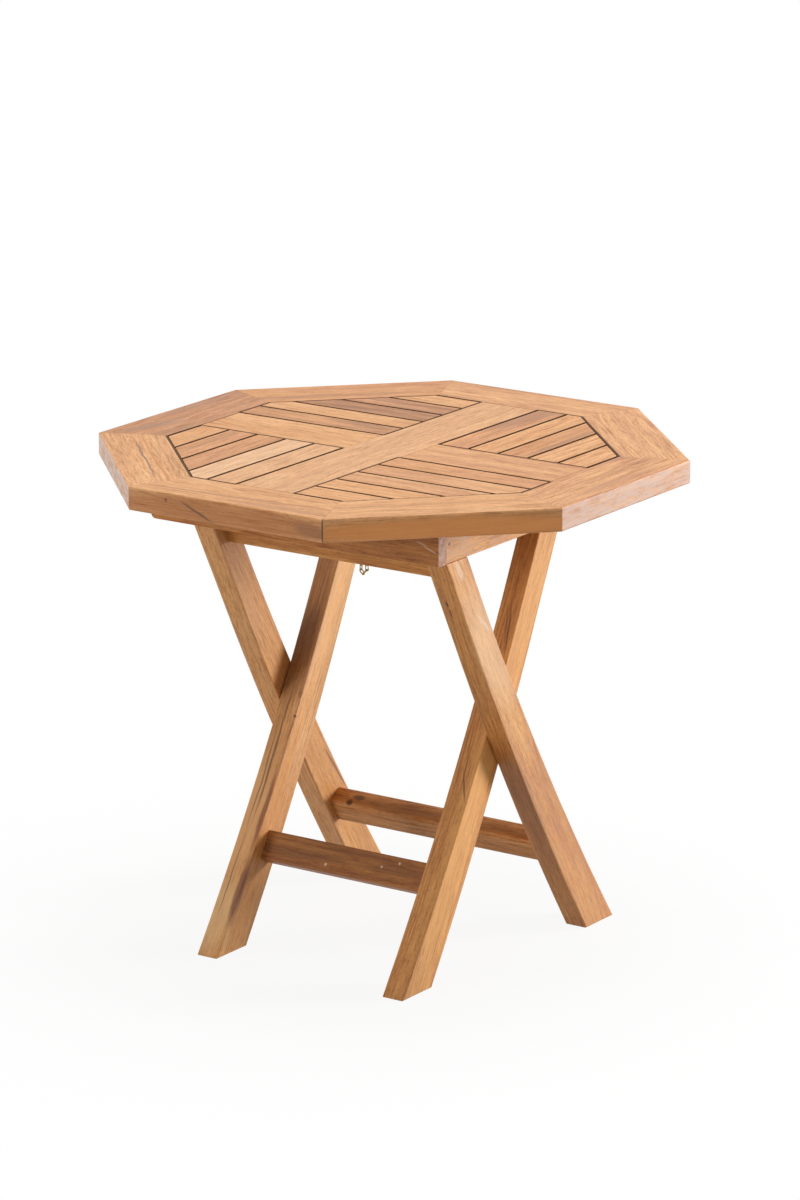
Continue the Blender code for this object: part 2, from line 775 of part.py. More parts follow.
def link_points(start, along, across_link, length):
    """The middle of a link's wire: two straight sides and two half rounds."""
    radius = link_width / 2
    points = []
    for end, sign in ((start + along * radius, -1), (start + along * (length - radius), 1)):
        for i in range(6):
            turn = math.pi * i / 5 - math.pi / 2
            points.append(end + sign * (along * math.cos(turn) + across_link * math.sin(turn)) * radius)
    return points


def make_lock(crossbar, long_rail):
    """A chain that hangs doubled from an eye behind the crossbar, its hook in the same eye."""
    a = outer_line.angle(crossbar_s)
    outward = Vector((0, math.cos(a), math.sin(a)))
    y, z = outer_line.point(crossbar_s, crossbar_set + bar_thick / 2)
    base = Vector((lock_x, y, z))
    eye = make_eye("chain_eye", base, outward, Vector((1, 0, 0)), crossbar)
    top_eye = make_eye("top_eye", Vector((lock_x, top_eye_y, slat_bottom)), Vector((0, 0, -1)),
                       Vector((1, 0, 0)), long_rail)
    ring = base + outward * (eye_neck + eye_radius)
    reach = math.sqrt(eye_radius ** 2 - strand_spread ** 2)
    swing = ring + outward * reach
    swing.x = lock_x
    hold = 2 * link_wire - link_overlap
    length = link_pitch + hold
    spread = link_pitch * math.cos(math.radians(bottom_slope)) - strand_spread
    strand = math.asin(spread / (left_links * link_pitch))
    left = Vector((-math.sin(strand), 0, -math.cos(strand)))
    right = Vector((-math.sin(strand), 0, math.cos(strand)))
    slope = math.radians(bottom_slope)
    fall = Vector((math.cos(slope), 0, -math.sin(slope)))
    rise = Vector((math.cos(slope), 0, math.sin(slope)))
    runs = [left] * left_links + [fall, rise] + [right] * right_links
    start = swing + Vector((-strand_spread, 0, eye_wire + link_wire + clearance))
    chain = None
    for i, along in enumerate(runs):
        flat = i % 2 == 1
        if i:
            start = end - (along if flat else runs[i - 1]) * hold
        wide = Vector((along.z, 0, -along.x)) if flat else Vector((0, 1, 0))
        bm = wire(link_points(start, along, wide, length), link_wire, True)
        if chain is None:
            chain = add_mesh("lock_chain", bm, Matrix(), parts)
        else:
            boolean(chain, add_mesh("chain_link_%d" % (i + 1), bm, Matrix(), cutters), "UNION")
        end = start + along * length
    finish_metal(chain)
    hook = make_hook(end, swing + Vector((strand_spread, 0, 0)))
    return eye, top_eye, chain, hook, swing


def make_hook(end, eye_wire_middle):
    """An eye round the last link, a shank, and a bend over the screw eye's wire."""
    bend_centre = eye_wire_middle + Vector((0, 0, eye_wire + hook_wire + clearance - hook_bend_radius))
    shank_top = bend_centre + Vector((0, hook_bend_radius, 0))
    up = (shank_top - end).normalized()
    up.y = 0
    up.normalize()
    side = Vector((up.z, 0, -up.x))
    radius = link_width / 2
    centre = end + up * (radius - link_wire - hook_wire - clearance)
    points = []
    for i in range(13):
        turn = math.radians(30 - 300 * i / 12)
        points.append(centre + (up * math.sin(turn) + side * math.cos(turn)) * radius)
    points.append(shank_top - Vector((0, 0, hook_tip)))
    for i in range(9):
        turn = math.pi * i / 8
        points.append(bend_centre + Vector((0, math.cos(turn), math.sin(turn))) * hook_bend_radius)
    points.append(points[-1] - Vector((0, 0, hook_tip)))
    hook = add_mesh("lock_hook", wire(points, hook_wire), Matrix(), parts)
    finish_metal(hook)
    return hook


def main():
    clear_scene()
    boards = make_frame_boards()
    middle_rails = make_middle_rails()
    slats = make_slats()
    apron = make_apron()
    outer_legs, outer_stretcher, crossbar = make_outer_frame()
    inner_legs, inner_stretcher = make_inner_frame()
    pivots = make_scissor_pivots(inner_legs, outer_legs)
    hinges = make_top_hinges(inner_legs, apron)
    screws = make_apron_screws(apron, middle_rails)
    chain_eye, top_eye, chain, hook, swing = make_lock(crossbar, middle_rails[0])

    carry(hub("outer_frame_axis", (0, pivot_y, pivot_z)),
          outer_legs + [outer_stretcher, crossbar, chain_eye])
    carry(hub("inner_frame_axis", (0, pivot_y, pivot_z)), inner_legs + [inner_stretcher] + pivots)
    carry(hub("top_hinge_axis", (0, top_hinge_y, top_hinge_z)),
          boards + middle_rails + slats + list(apron.values()) + hinges + screws + [top_eye])
    carry(hub("chain_axis", swing), [chain, hook])


main()
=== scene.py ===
"""Folding garden table in oiled teak: finishes for its pieces, its brass lock chain and a studio."""
import json
import math

import bpy
from mathutils import Matrix, Vector

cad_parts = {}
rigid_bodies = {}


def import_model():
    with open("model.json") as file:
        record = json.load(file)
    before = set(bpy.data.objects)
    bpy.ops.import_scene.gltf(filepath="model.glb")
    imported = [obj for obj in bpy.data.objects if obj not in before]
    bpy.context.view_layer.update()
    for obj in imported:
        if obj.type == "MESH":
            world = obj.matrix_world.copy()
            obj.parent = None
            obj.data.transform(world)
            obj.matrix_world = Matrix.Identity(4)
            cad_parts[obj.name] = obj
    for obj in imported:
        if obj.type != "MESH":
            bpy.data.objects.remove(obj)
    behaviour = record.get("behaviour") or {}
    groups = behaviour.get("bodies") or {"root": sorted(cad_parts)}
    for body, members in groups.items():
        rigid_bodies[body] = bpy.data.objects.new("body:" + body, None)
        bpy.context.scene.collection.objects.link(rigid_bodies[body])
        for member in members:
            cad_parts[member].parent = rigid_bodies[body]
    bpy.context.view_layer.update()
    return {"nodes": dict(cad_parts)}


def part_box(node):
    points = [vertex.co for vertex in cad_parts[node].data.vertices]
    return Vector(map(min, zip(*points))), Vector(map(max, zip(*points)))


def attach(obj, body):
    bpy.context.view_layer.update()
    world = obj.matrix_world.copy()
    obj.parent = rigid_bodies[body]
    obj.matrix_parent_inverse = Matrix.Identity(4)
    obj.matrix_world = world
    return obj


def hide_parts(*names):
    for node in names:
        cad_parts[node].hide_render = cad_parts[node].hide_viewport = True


bl_info = {
    "name": "Folding Teak Table",
    "version": (1, 0, 0),
    "blender": (4, 5, 0),
    "location": "3D View > Sidebar > Teak Table",
    "description": "Oiled teak, brass lock chain and studio for a folding octagonal garden table",
    "category": "Object",
}

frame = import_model()
NODES = frame["nodes"]
X, Y, UP = (1, 0, 0), (0, 1, 0), (0, 0, 1)
FAR = 1.0                   # a metre: beyond every board's ends and sides


def linear(code):
    """An sRGB hex colour as linear RGB."""
    values = [int(code[i:i + 2], 16) / 255 for i in (1, 3, 5)]
    return tuple(v / 12.92 if v <= 0.04045 else ((v + 0.055) / 1.055) ** 2.4 for v in values)


def opaque(colour):
    """A linear colour with its alpha, as a shader's socket takes it."""
    return (*colour, 1.0)


# Sizes and colours that a user would change

COLOUR = {"subtype": "COLOR", "size": 3, "min": 0, "max": 1}


class TeakFinish(bpy.types.PropertyGroup):
    """Oiled teak: honey to golden brown, with darker heart streaks."""
    honey: bpy.props.FloatVectorProperty(
        name="Honey", description="Light sapwood side of the boards", default=linear("#E2AB74"), **COLOUR)
    golden: bpy.props.FloatVectorProperty(
        name="Golden", description="The most usual colour", default=linear("#D69A61"), **COLOUR)
    tan: bpy.props.FloatVectorProperty(
        name="Tan", description="Duller boards", default=linear("#C98D5F"), **COLOUR)
    brown: bpy.props.FloatVectorProperty(
        name="Brown", description="Boards from near the heart", default=linear("#B07A4E"), **COLOUR)
    amber: bpy.props.FloatVectorProperty(
        name="Amber", description="Light tone of the legs and rails", default=linear("#E0A45C"), **COLOUR)
    russet: bpy.props.FloatVectorProperty(
        name="Russet", description="Dark tone of the legs and rails", default=linear("#CB8B4A"), **COLOUR)
    nut: bpy.props.FloatVectorProperty(
        name="Nut brown", description="The stretcher that lies lowest", default=linear("#A0683A"), **COLOUR)
    streak: bpy.props.FloatVectorProperty(
        name="Heart streak", description="Dark streaks along the grain", default=linear("#76502F"), **COLOUR)
    # painted shade: the dark colour put inside the top's gaps and on the strips beside them, where shade
    # falls
    gap: bpy.props.FloatVectorProperty(
        name="Gap edges", description="Unsanded edges inside the top's gaps", default=linear("#452712"),
        **COLOUR)
    # painted sheen: pale colours put on rims and ends that face one way, where light would leave a sheen
    painted_sheen: bpy.props.FloatVectorProperty(
        name="Dry rims", description="Rims and ends that took little oil", default=linear("#CBAEA0"),
        **COLOUR)
    strong_sheen: bpy.props.FloatVectorProperty(
        name="Bleached rim", description="The rim that took least oil", default=linear("#F4DFD6"), **COLOUR)
    ring_width: bpy.props.FloatProperty(
        name="Ring width", description="Usual distance between growth rings", unit="LENGTH",
        min=0.001, max=0.03, default=0.006)
    fibre_width: bpy.props.FloatProperty(
        name="Fibre width", description="Width of the fine streaks, drawn coarser than real pores",
        unit="LENGTH", min=0.0003, max=0.01, default=0.0016)
    # painted shade: the widths of the dark strips beside the gaps, at the slats' ends and along their sides
    end_shade_line: bpy.props.FloatProperty(
        name="End line", description="Stained strip at the slats' ends", unit="LENGTH",
        min=0, max=0.006, default=0.0034)
    side_shade_line: bpy.props.FloatProperty(
        name="Side line", description="Stained strip along the slats' sides", unit="LENGTH",
        min=0, max=0.006, default=0.0006)
    roughness: bpy.props.FloatProperty(
        name="Roughness", description="Sanded and oiled", subtype="FACTOR", min=0, max=1, default=0.5)


class LockSizes(bpy.types.PropertyGroup):
    """The chain, its hook and its screw eyes."""
    link_wire: bpy.props.FloatProperty(
        name="Link wire", description="Radius of the chain's wire", unit="LENGTH",
        min=0.0003, max=0.003, default=0.00085)
    link_pitch: bpy.props.FloatProperty(
        name="Link pitch", description="Chain length that each link adds", unit="LENGTH",
        min=0.003, max=0.03, default=0.0075)
    link_width: bpy.props.FloatProperty(
        name="Link width", description="Between the middles of a link's two sides", unit="LENGTH",
        min=0.002, max=0.02, default=0.0046)
    eye_wire: bpy.props.FloatProperty(
        name="Eye wire", description="Radius of the screw eyes' and the hook's wire", unit="LENGTH",
        min=0.0003, max=0.003, default=0.0009)
    eye_radius: bpy.props.FloatProperty(
        name="Eye radius", description="To the middle of the ring's wire", unit="LENGTH",
        min=0.002, max=0.02, default=0.005)
    hook_bend: bpy.props.FloatProperty(
        name="Hook bend", description="Radius of the hook's bend", unit="LENGTH",
        min=0.001, max=0.01, default=0.0027)
    brass: bpy.props.FloatVectorProperty(
        name="Brass", description="Lock chain, eyes and pivot pins", default=linear("#A68C50"), **COLOUR)
    steel: bpy.props.FloatVectorProperty(
        name="Steel", description="Hinge bolts and screws", default=linear("#B9B6AE"), **COLOUR)


class StudioSettings(bpy.types.PropertyGroup):
    """Floor, lamps and camera."""
    lens: bpy.props.FloatProperty(
        name="Lens", description="Focal length on a 36 mm frame", unit="CAMERA",
        min=20, max=400, default=161.42)
    world: bpy.props.FloatProperty(
        name="World", description="Strength of the even light all round", min=0, max=5, default=0.34)
    window: bpy.props.FloatProperty(
        name="Window lamp", description="Large lamp on the right", unit="POWER",
        min=0, max=5000, default=255)
    overhead: bpy.props.FloatProperty(
        name="Overhead lamp", description="Large lamp above", unit="POWER", min=0, max=5000, default=86)
    fill: bpy.props.FloatProperty(
        name="Fill lamp", description="Soft lamp on the front left", unit="POWER",
        min=0, max=5000, default=62)
    floor_shade: bpy.props.FloatProperty(
        name="Floor shade", description="How much of the shadow the camera sees", subtype="FACTOR",
        min=0, max=1, default=0.10)


# Small helpers

def deselect_all():
    for obj in bpy.context.view_layer.objects:
        obj.select_set(False)


def size_of(node):
    low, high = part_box(node)
    return high - low


def give(node, material):
    """Put a material on a CAD node in place of its plain one."""
    obj = NODES[node]
    if not obj.material_slots:
        obj.data.materials.append(material)
    for slot in obj.material_slots:
        slot.link = "OBJECT"
        slot.material = material


def new_material(name):
    material = bpy.data.materials.new(name)
    material.use_nodes = True
    tree = material.node_tree
    tree.nodes.clear()
    return material, tree


def add_node(tree, kind, links=None, stops=(), **settings):
    """Add a shader node, set its settings and a ramp's stops, and set or link its inputs.

    A link's source is a socket, a node, whose first output is then taken, or a plain value. A stop
    is a place on the ramp with a grey value or a linear colour.
    """
    node = tree.nodes.new(kind)
    for key, value in settings.items():
        setattr(node, key, value)
    for i, (place, value) in enumerate(stops):
        element = node.color_ramp.elements[i] if i < 2 else node.color_ramp.elements.new(place)
        element.position = place
        element.color = (value, value, value, 1) if isinstance(value, (int, float)) else opaque(value)
    for socket, source in (links or {}).items():
        if isinstance(source, bpy.types.Node):
            source = source.outputs[0]
        if isinstance(source, bpy.types.NodeSocket):
            tree.links.new(source, node.inputs[socket])
        else:
            node.inputs[socket].default_value = source
    return node


# Teak

RING_WANDER = 0.008         # how far the rings stray from true cones, over a hand's length
RING_TAPER = 0.015          # a ring's change of radius along the board
MARK_WAVER = 0.003          # how far veins and knots stray off the straight
LINE_BLUR = 0.0002          # half the soft edge of a strip of painted shade
LINE_SHADE = 0.9            # how much of the gap colour a strip of painted shade takes
SHELTERED = 0.3             # specular level of the pieces under the top
LEG_WIDTH = 0.06            # a leg's own width within its box, along Y
END_GRAIN = "#C79A78"       # multiplies the colour there, for wood that drank more oil
DEEP_BROWN = (0.66, 0.54, 0.42)     # multiplies the colour in pores and dark fibres


def grain_axes(along, across):
    """Rows that turn object coordinates to (along the grain, across the board, through it)."""
    g = Vector(along).normalized()
    w = Vector(across)
    w = (w - g * w.dot(g)).normalized()
    return Matrix((g, w, g.cross(w)))


def grain_noise(tree, vector, seed, size, detail=2.0, roughness=0.5):
    """Noise in the board's own directions; size is (along, across) in metres."""
    space = add_node(tree, "ShaderNodeMapping", {
        "Vector": vector, "Location": (seed, seed * 2.3, seed * 3.1),
        "Scale": (1 / size[0], 1 / size[1], 1 / size[1])})
    return add_node(tree, "ShaderNodeTexNoise", {
        "Vector": space, "Scale": 1.0, "Detail": detail, "Roughness": roughness})


def growth_rings(tree, board, seed, pith, ring_width):
    """Single rings, and the broad bands that heart streaks follow: wandering cones round the pith."""
    warp = grain_noise(tree, board, seed, (0.25, 0.09))
    wander = add_node(tree, "ShaderNodeVectorMath", {
        0: warp.outputs["Color"], 1: (0.0, 2 * RING_WANDER, 2 * RING_WANDER),
        2: (0.0, pith[0] - RING_WANDER, -pith[1] - RING_WANDER)}, operation="MULTIPLY_ADD")
    placed = add_node(tree, "ShaderNodeVectorMath", {0: board, 1: wander}, operation="ADD")
    flat = add_node(tree, "ShaderNodeVectorMath", {0: placed, 1: (0.0, 1.0, 1.0)}, operation="MULTIPLY")
    radius = add_node(tree, "ShaderNodeVectorMath", {0: flat}, operation="LENGTH").outputs["Value"]
    split = add_node(tree, "ShaderNodeSeparateXYZ", {"Vector": board})
    cone = add_node(tree, "ShaderNodeMath", {0: split.outputs["X"], 1: RING_TAPER, 2: radius},
                    operation="MULTIPLY_ADD")
    cone = add_node(tree, "ShaderNodeMath", {0: cone, 1: seed}, operation="ADD")
    return [add_node(tree, "ShaderNodeTexNoise", {
        "W": cone, "Scale": scale / ring_width, "Detail": detail, "Roughness": roughness},
        noise_dimensions="1D") for scale, detail, roughness in ((1.0, 2.5, 0.6), (0.25, 1.5, 0.5))]


def add_marks(tree, colour, board, marks, seed):
    """Veins, knots, worn spots and tints, and some painted shade, sheen and highlight, each an ellipsoid
    with a soft rim.
    """
    waver = grain_noise(tree, board, seed * 1.7, (0.05, 0.03))
    stray = add_node(tree, "ShaderNodeVectorMath", {
        0: waver.outputs["Color"], 1: (0.0, 2 * MARK_WAVER, 2 * MARK_WAVER),
        2: (0.0, -MARK_WAVER, -MARK_WAVER)}, operation="MULTIPLY_ADD")
    shaken = add_node(tree, "ShaderNodeVectorMath", {0: board, 1: stray}, operation="ADD")
    for place, halves, turn, code, strength in marks:
        spot = add_node(tree, "ShaderNodeMapping", {
            "Vector": shaken, "Location": place, "Rotation": turn, "Scale": halves},
            vector_type="TEXTURE")
        away = add_node(tree, "ShaderNodeVectorMath", {0: spot}, operation="LENGTH").outputs["Value"]
        near = add_node(tree, "ShaderNodeValToRGB", {"Fac": away}, ((0.55, strength), (1.0, 0.0)))
        colour = add_node(tree, "ShaderNodeMix", {
            "Factor": near, "A": colour, "B": opaque(linear(code))}, data_type="RGBA").outputs["Result"]
    return colour


def painted_gap_shade(tree, normal, board, gap_faces, gap_depth, edge_lines):
    """Masks of painted shade: the faces inside the top's gaps, and the strips beside these that widen the
    gaps' dark lines.
    """
    place = add_node(tree, "ShaderNodeSeparateXYZ", {"Vector": board}).outputs
    shade_masks = []
    if gap_faces:
        inside = add_node(tree, "ShaderNodeVectorMath", {0: normal, 1: gap_faces},
                          operation="DOT_PRODUCT").outputs["Value"]
        stops = ((0.5, 0.0), (0.9, 1.0))
        if gap_faces == UP:
            inside = add_node(tree, "ShaderNodeMath", {0: inside}, operation="ABSOLUTE")
            stops = ((0.1, 1.0), (0.5, 0.0))
        inside = add_node(tree, "ShaderNodeValToRGB", {"Fac": inside}, stops)
        above = add_node(tree, "ShaderNodeMath", {0: place["Z"], 1: gap_depth}, operation="LESS_THAN")
        shade_masks.append(add_node(tree, "ShaderNodeMath", {0: inside, 1: above}, operation="MULTIPLY"))
    for side, reach, first, last, line in edge_lines:
        across = add_node(tree, "ShaderNodeMath", {0: place["Y"], 1: side}, operation="MULTIPLY")
        strip = add_node(tree, "ShaderNodeMapRange", {
            "Value": across, "From Min": reach - line - LINE_BLUR, "From Max": reach - line + LINE_BLUR,
            "To Max": LINE_SHADE})
        for bound, operation in ((first, "GREATER_THAN"), (last, "LESS_THAN")):
            within = add_node(tree, "ShaderNodeMath", {0: place["X"], 1: bound}, operation=operation)
            strip = add_node(tree, "ShaderNodeMath", {0: strip, 1: within}, operation="MULTIPLY")
        shade_masks.append(strip)
    return shade_masks


def teak(node, along, across, tones, seed, streak, pith, middle=None, gap_faces=None,
         gap_depth=FAR, edge_lines=(), specular=0.5):
    """Oiled teak on one piece: fine fibres, soft growth rings that arch on flat-sawn faces, dark streaks.

    It gives the eye warm satin wood whose figure runs along each board and differs from the next.
    along and across are the board's own directions, and tones names its light and its dark colour.
    seed shifts every noise, streak is the strength of the heart streaks, and pith is where the tree's
    heart lies from the board's middle, across the board and through it.
    gap_faces is the direction to which the faces point that only show inside the top's gaps; UP
    stands for every face of a slat or rail that isn't level. gap_depth is how far through the board
    these faces reach; they get painted shade, the dark of the gaps. edge_lines are strips of painted
    shade beside the gaps, which widen the gaps' dark lines: (side, distance of the edge from the
    board's middle, where along the board the strip starts and ends, its width).
    specular is lower under the top, where grazing light would whiten the faces.
    """
    look = bpy.context.scene.teak_finish
    material, tree = new_material("oiled_teak_" + node)
    if middle is None:
        low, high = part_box(node)
        middle = (low + high) / 2
    turn = grain_axes(along, across)
    coords = add_node(tree, "ShaderNodeTexCoord")
    normal = coords.outputs["Normal"]
    board = add_node(tree, "ShaderNodeMapping", {
        "Vector": coords.outputs["Object"], "Location": -(turn @ Vector(middle)),
        "Rotation": turn.to_euler("XYZ")})

    # the ground: two tones, shared out by the rings and by broad clouds along the board
    rings, bands = growth_rings(tree, board, seed, pith, look.ring_width)
    clouds = grain_noise(tree, board, seed * 0.6, (0.22, 0.024), detail=2.5, roughness=0.55)
    figure = add_node(tree, "ShaderNodeMath", {0: rings, 1: 0.5}, operation="MULTIPLY")
    figure = add_node(tree, "ShaderNodeMath", {0: clouds, 1: 0.5, 2: figure}, operation="MULTIPLY_ADD")
    share = add_node(tree, "ShaderNodeValToRGB", {"Fac": figure}, ((0.41, 0.0), (0.59, 1.0)))
    light, dark = (opaque(getattr(look, tone)) for tone in tones)
    colour = add_node(tree, "ShaderNodeMix", {"Factor": share, "A": light, "B": dark},
                      data_type="RGBA").outputs["Result"]
    if streak:
        # heart streaks follow some of the rings and fade along the board
        mask = add_node(tree, "ShaderNodeValToRGB", {"Fac": bands}, ((0.50, 0.0), (0.58, 0.7), (0.68, 1.0)))
        fade = add_node(tree, "ShaderNodeValToRGB", {"Fac": clouds}, ((0.36, 0.1), (0.60, 1.0)))
        amount = add_node(tree, "ShaderNodeMath", {0: mask, 1: fade}, operation="MULTIPLY")
        amount = add_node(tree, "ShaderNodeMath", {0: amount, 1: streak}, operation="MULTIPLY")
        colour = add_node(tree, "ShaderNodeMix", {
            "Factor": amount, "A": colour, "B": opaque(look.streak)}, data_type="RGBA").outputs["Result"]

    # late wood, streaks of fibres and short pores darken it; both streaks and pores are drawn
    # coarser than real ones, so that they show
    fibres = grain_noise(tree, board, seed, (30 * look.fibre_width, 2 * look.fibre_width),
                         detail=4.0, roughness=0.7)
    pores = grain_noise(tree, board, seed * 1.3, (6 * look.fibre_width, 0.5 * look.fibre_width),
                        detail=1.0)
    for noise, stops in (
            (rings, ((0.26, (0.80, 0.68, 0.56)), (0.42, 0.98), (0.58, 1.05), (0.74, (0.88, 0.79, 0.70)))),
            (fibres, ((0.34, DEEP_BROWN), (0.46, (0.95, 0.92, 0.88)), (0.56, 1.05), (0.68, 1.22))),
            (pores, ((0.30, DEEP_BROWN), (0.43, 1.02)))):
        factor = add_node(tree, "ShaderNodeValToRGB", {"Fac": noise}, stops)
        colour = add_node(tree, "ShaderNodeMix", {"Factor": 1.0, "A": colour, "B": factor},
                          data_type="RGBA", blend_type="MULTIPLY").outputs["Result"]
    if node in MARKS:
        colour = add_marks(tree, colour, board, MARKS[node], seed)

    # end grain drinks more oil and looks darker; faces turned one way get a painted sheen, pale and uneven
    end = add_node(tree, "ShaderNodeVectorMath", {0: normal, 1: Vector(along).normalized()},
                   operation="DOT_PRODUCT").outputs["Value"]
    end = add_node(tree, "ShaderNodeMath", {0: end}, operation="ABSOLUTE")
    end = add_node(tree, "ShaderNodeValToRGB", {"Fac": end}, ((0.80, 0.0), (0.97, 0.55)))
    soaked = add_node(tree, "ShaderNodeMix", {"Factor": 1.0, "A": colour, "B": opaque(linear(END_GRAIN))},
                      data_type="RGBA", blend_type="MULTIPLY").outputs["Result"]
    colour = add_node(tree, "ShaderNodeMix", {"Factor": end, "A": colour, "B": soaked},
                      data_type="RGBA").outputs["Result"]
    if node in SHEEN_FACES:
        direction, tone, strength = SHEEN_FACES[node]
        sheen_mask = add_node(tree, "ShaderNodeVectorMath", {0: normal, 1: direction},
                        operation="DOT_PRODUCT").outputs["Value"]
        sheen_mask = add_node(tree, "ShaderNodeValToRGB", {"Fac": sheen_mask}, ((0.85, 0.0), (0.98, strength)))
        mottle = grain_noise(tree, board, seed * 2.1, (0.03, 0.010), detail=4.0, roughness=0.7)
        mottle = add_node(tree, "ShaderNodeValToRGB", {"Fac": mottle}, ((0.38, 0.25), (0.58, 1.0)))
        sheen_mask = add_node(tree, "ShaderNodeMath", {0: sheen_mask, 1: mottle}, operation="MULTIPLY")
        colour = add_node(tree, "ShaderNodeMix", {
            "Factor": sheen_mask, "A": colour, "B": opaque(getattr(look, tone))},
            data_type="RGBA").outputs["Result"]

    # painted shade beside and inside the gaps is dark and dull
    dull = add_node(tree, "ShaderNodeMapRange", {
        "Value": fibres, "From Min": 0.3, "From Max": 0.7, "To Min": look.roughness + 0.08,
        "To Max": look.roughness - 0.05})
    for shade_mask in painted_gap_shade(tree, normal, board, gap_faces, gap_depth, edge_lines):
        colour = add_node(tree, "ShaderNodeMix", {
            "Factor": shade_mask, "A": colour, "B": opaque(look.gap)}, data_type="RGBA").outputs["Result"]
        dull = add_node(tree, "ShaderNodeMath", {0: shade_mask, 1: dull}, operation="MAXIMUM")

    bump = add_node(tree, "ShaderNodeBump", {"Height": fibres, "Strength": 0.3, "Distance": 0.0004})
    shader = add_node(tree, "ShaderNodeBsdfPrincipled", {
        "Base Color": colour, "Roughness": dull, "IOR": 1.5, "Specular IOR Level": specular,
        "Normal": bump})
    add_node(tree, "ShaderNodeOutputMaterial", {"Surface": shader})
    give(node, material)


# Tones are (light, dark); the second number is the strength of the heart streaks. The boards go
# round anticlockwise from the right, the slats from the rail outwards.
BOARD_LOOKS = {
    "right": (("honey", "tan"), 0.15), "back_right": (("honey", "tan"), 0.0),
    "back": (("honey", "tan"), 0.35), "back_left": (("golden", "tan"), 0.35),
    "left": (("tan", "brown"), 0.1), "front_left": (("honey", "golden"), 0.25),
    "front": (("honey", "golden"), 0.2), "front_right": (("honey", "golden"), 0.3),
}
RAIL_LOOKS = {
    "long_rail": (("honey", "golden"), 0.15), "short_rail_left": (("honey", "golden"), 0.1),
    "short_rail_right": (("honey", "tan"), 0.2),
}
SLAT_LOOKS = {
    "back_left": ((("golden", "tan"), 0.5), (("honey", "golden"), 0.1), (("brown", "brown"), 0.8),
                  (("tan", "brown"), 0.6), (("honey", "golden"), 0.1)),
    "back_right": ((("golden", "tan"), 0.1), (("honey", "golden"), 0.0), (("golden", "tan"), 0.4),
                   (("honey", "golden"), 0.1), (("honey", "golden"), 0.0)),
    "front_left": ((("honey", "golden"), 0.0), (("honey", "honey"), 0.0), (("golden", "tan"), 0.2),
                   (("golden", "tan"), 0.4), (("honey", "golden"), 0.1)),
    "front_right": ((("golden", "tan"), 0.1), (("honey", "tan"), 0.0), (("honey", "tan"), 0.1),
                    (("honey", "golden"), 0.0), (("honey", "golden"), 0.0)),
}
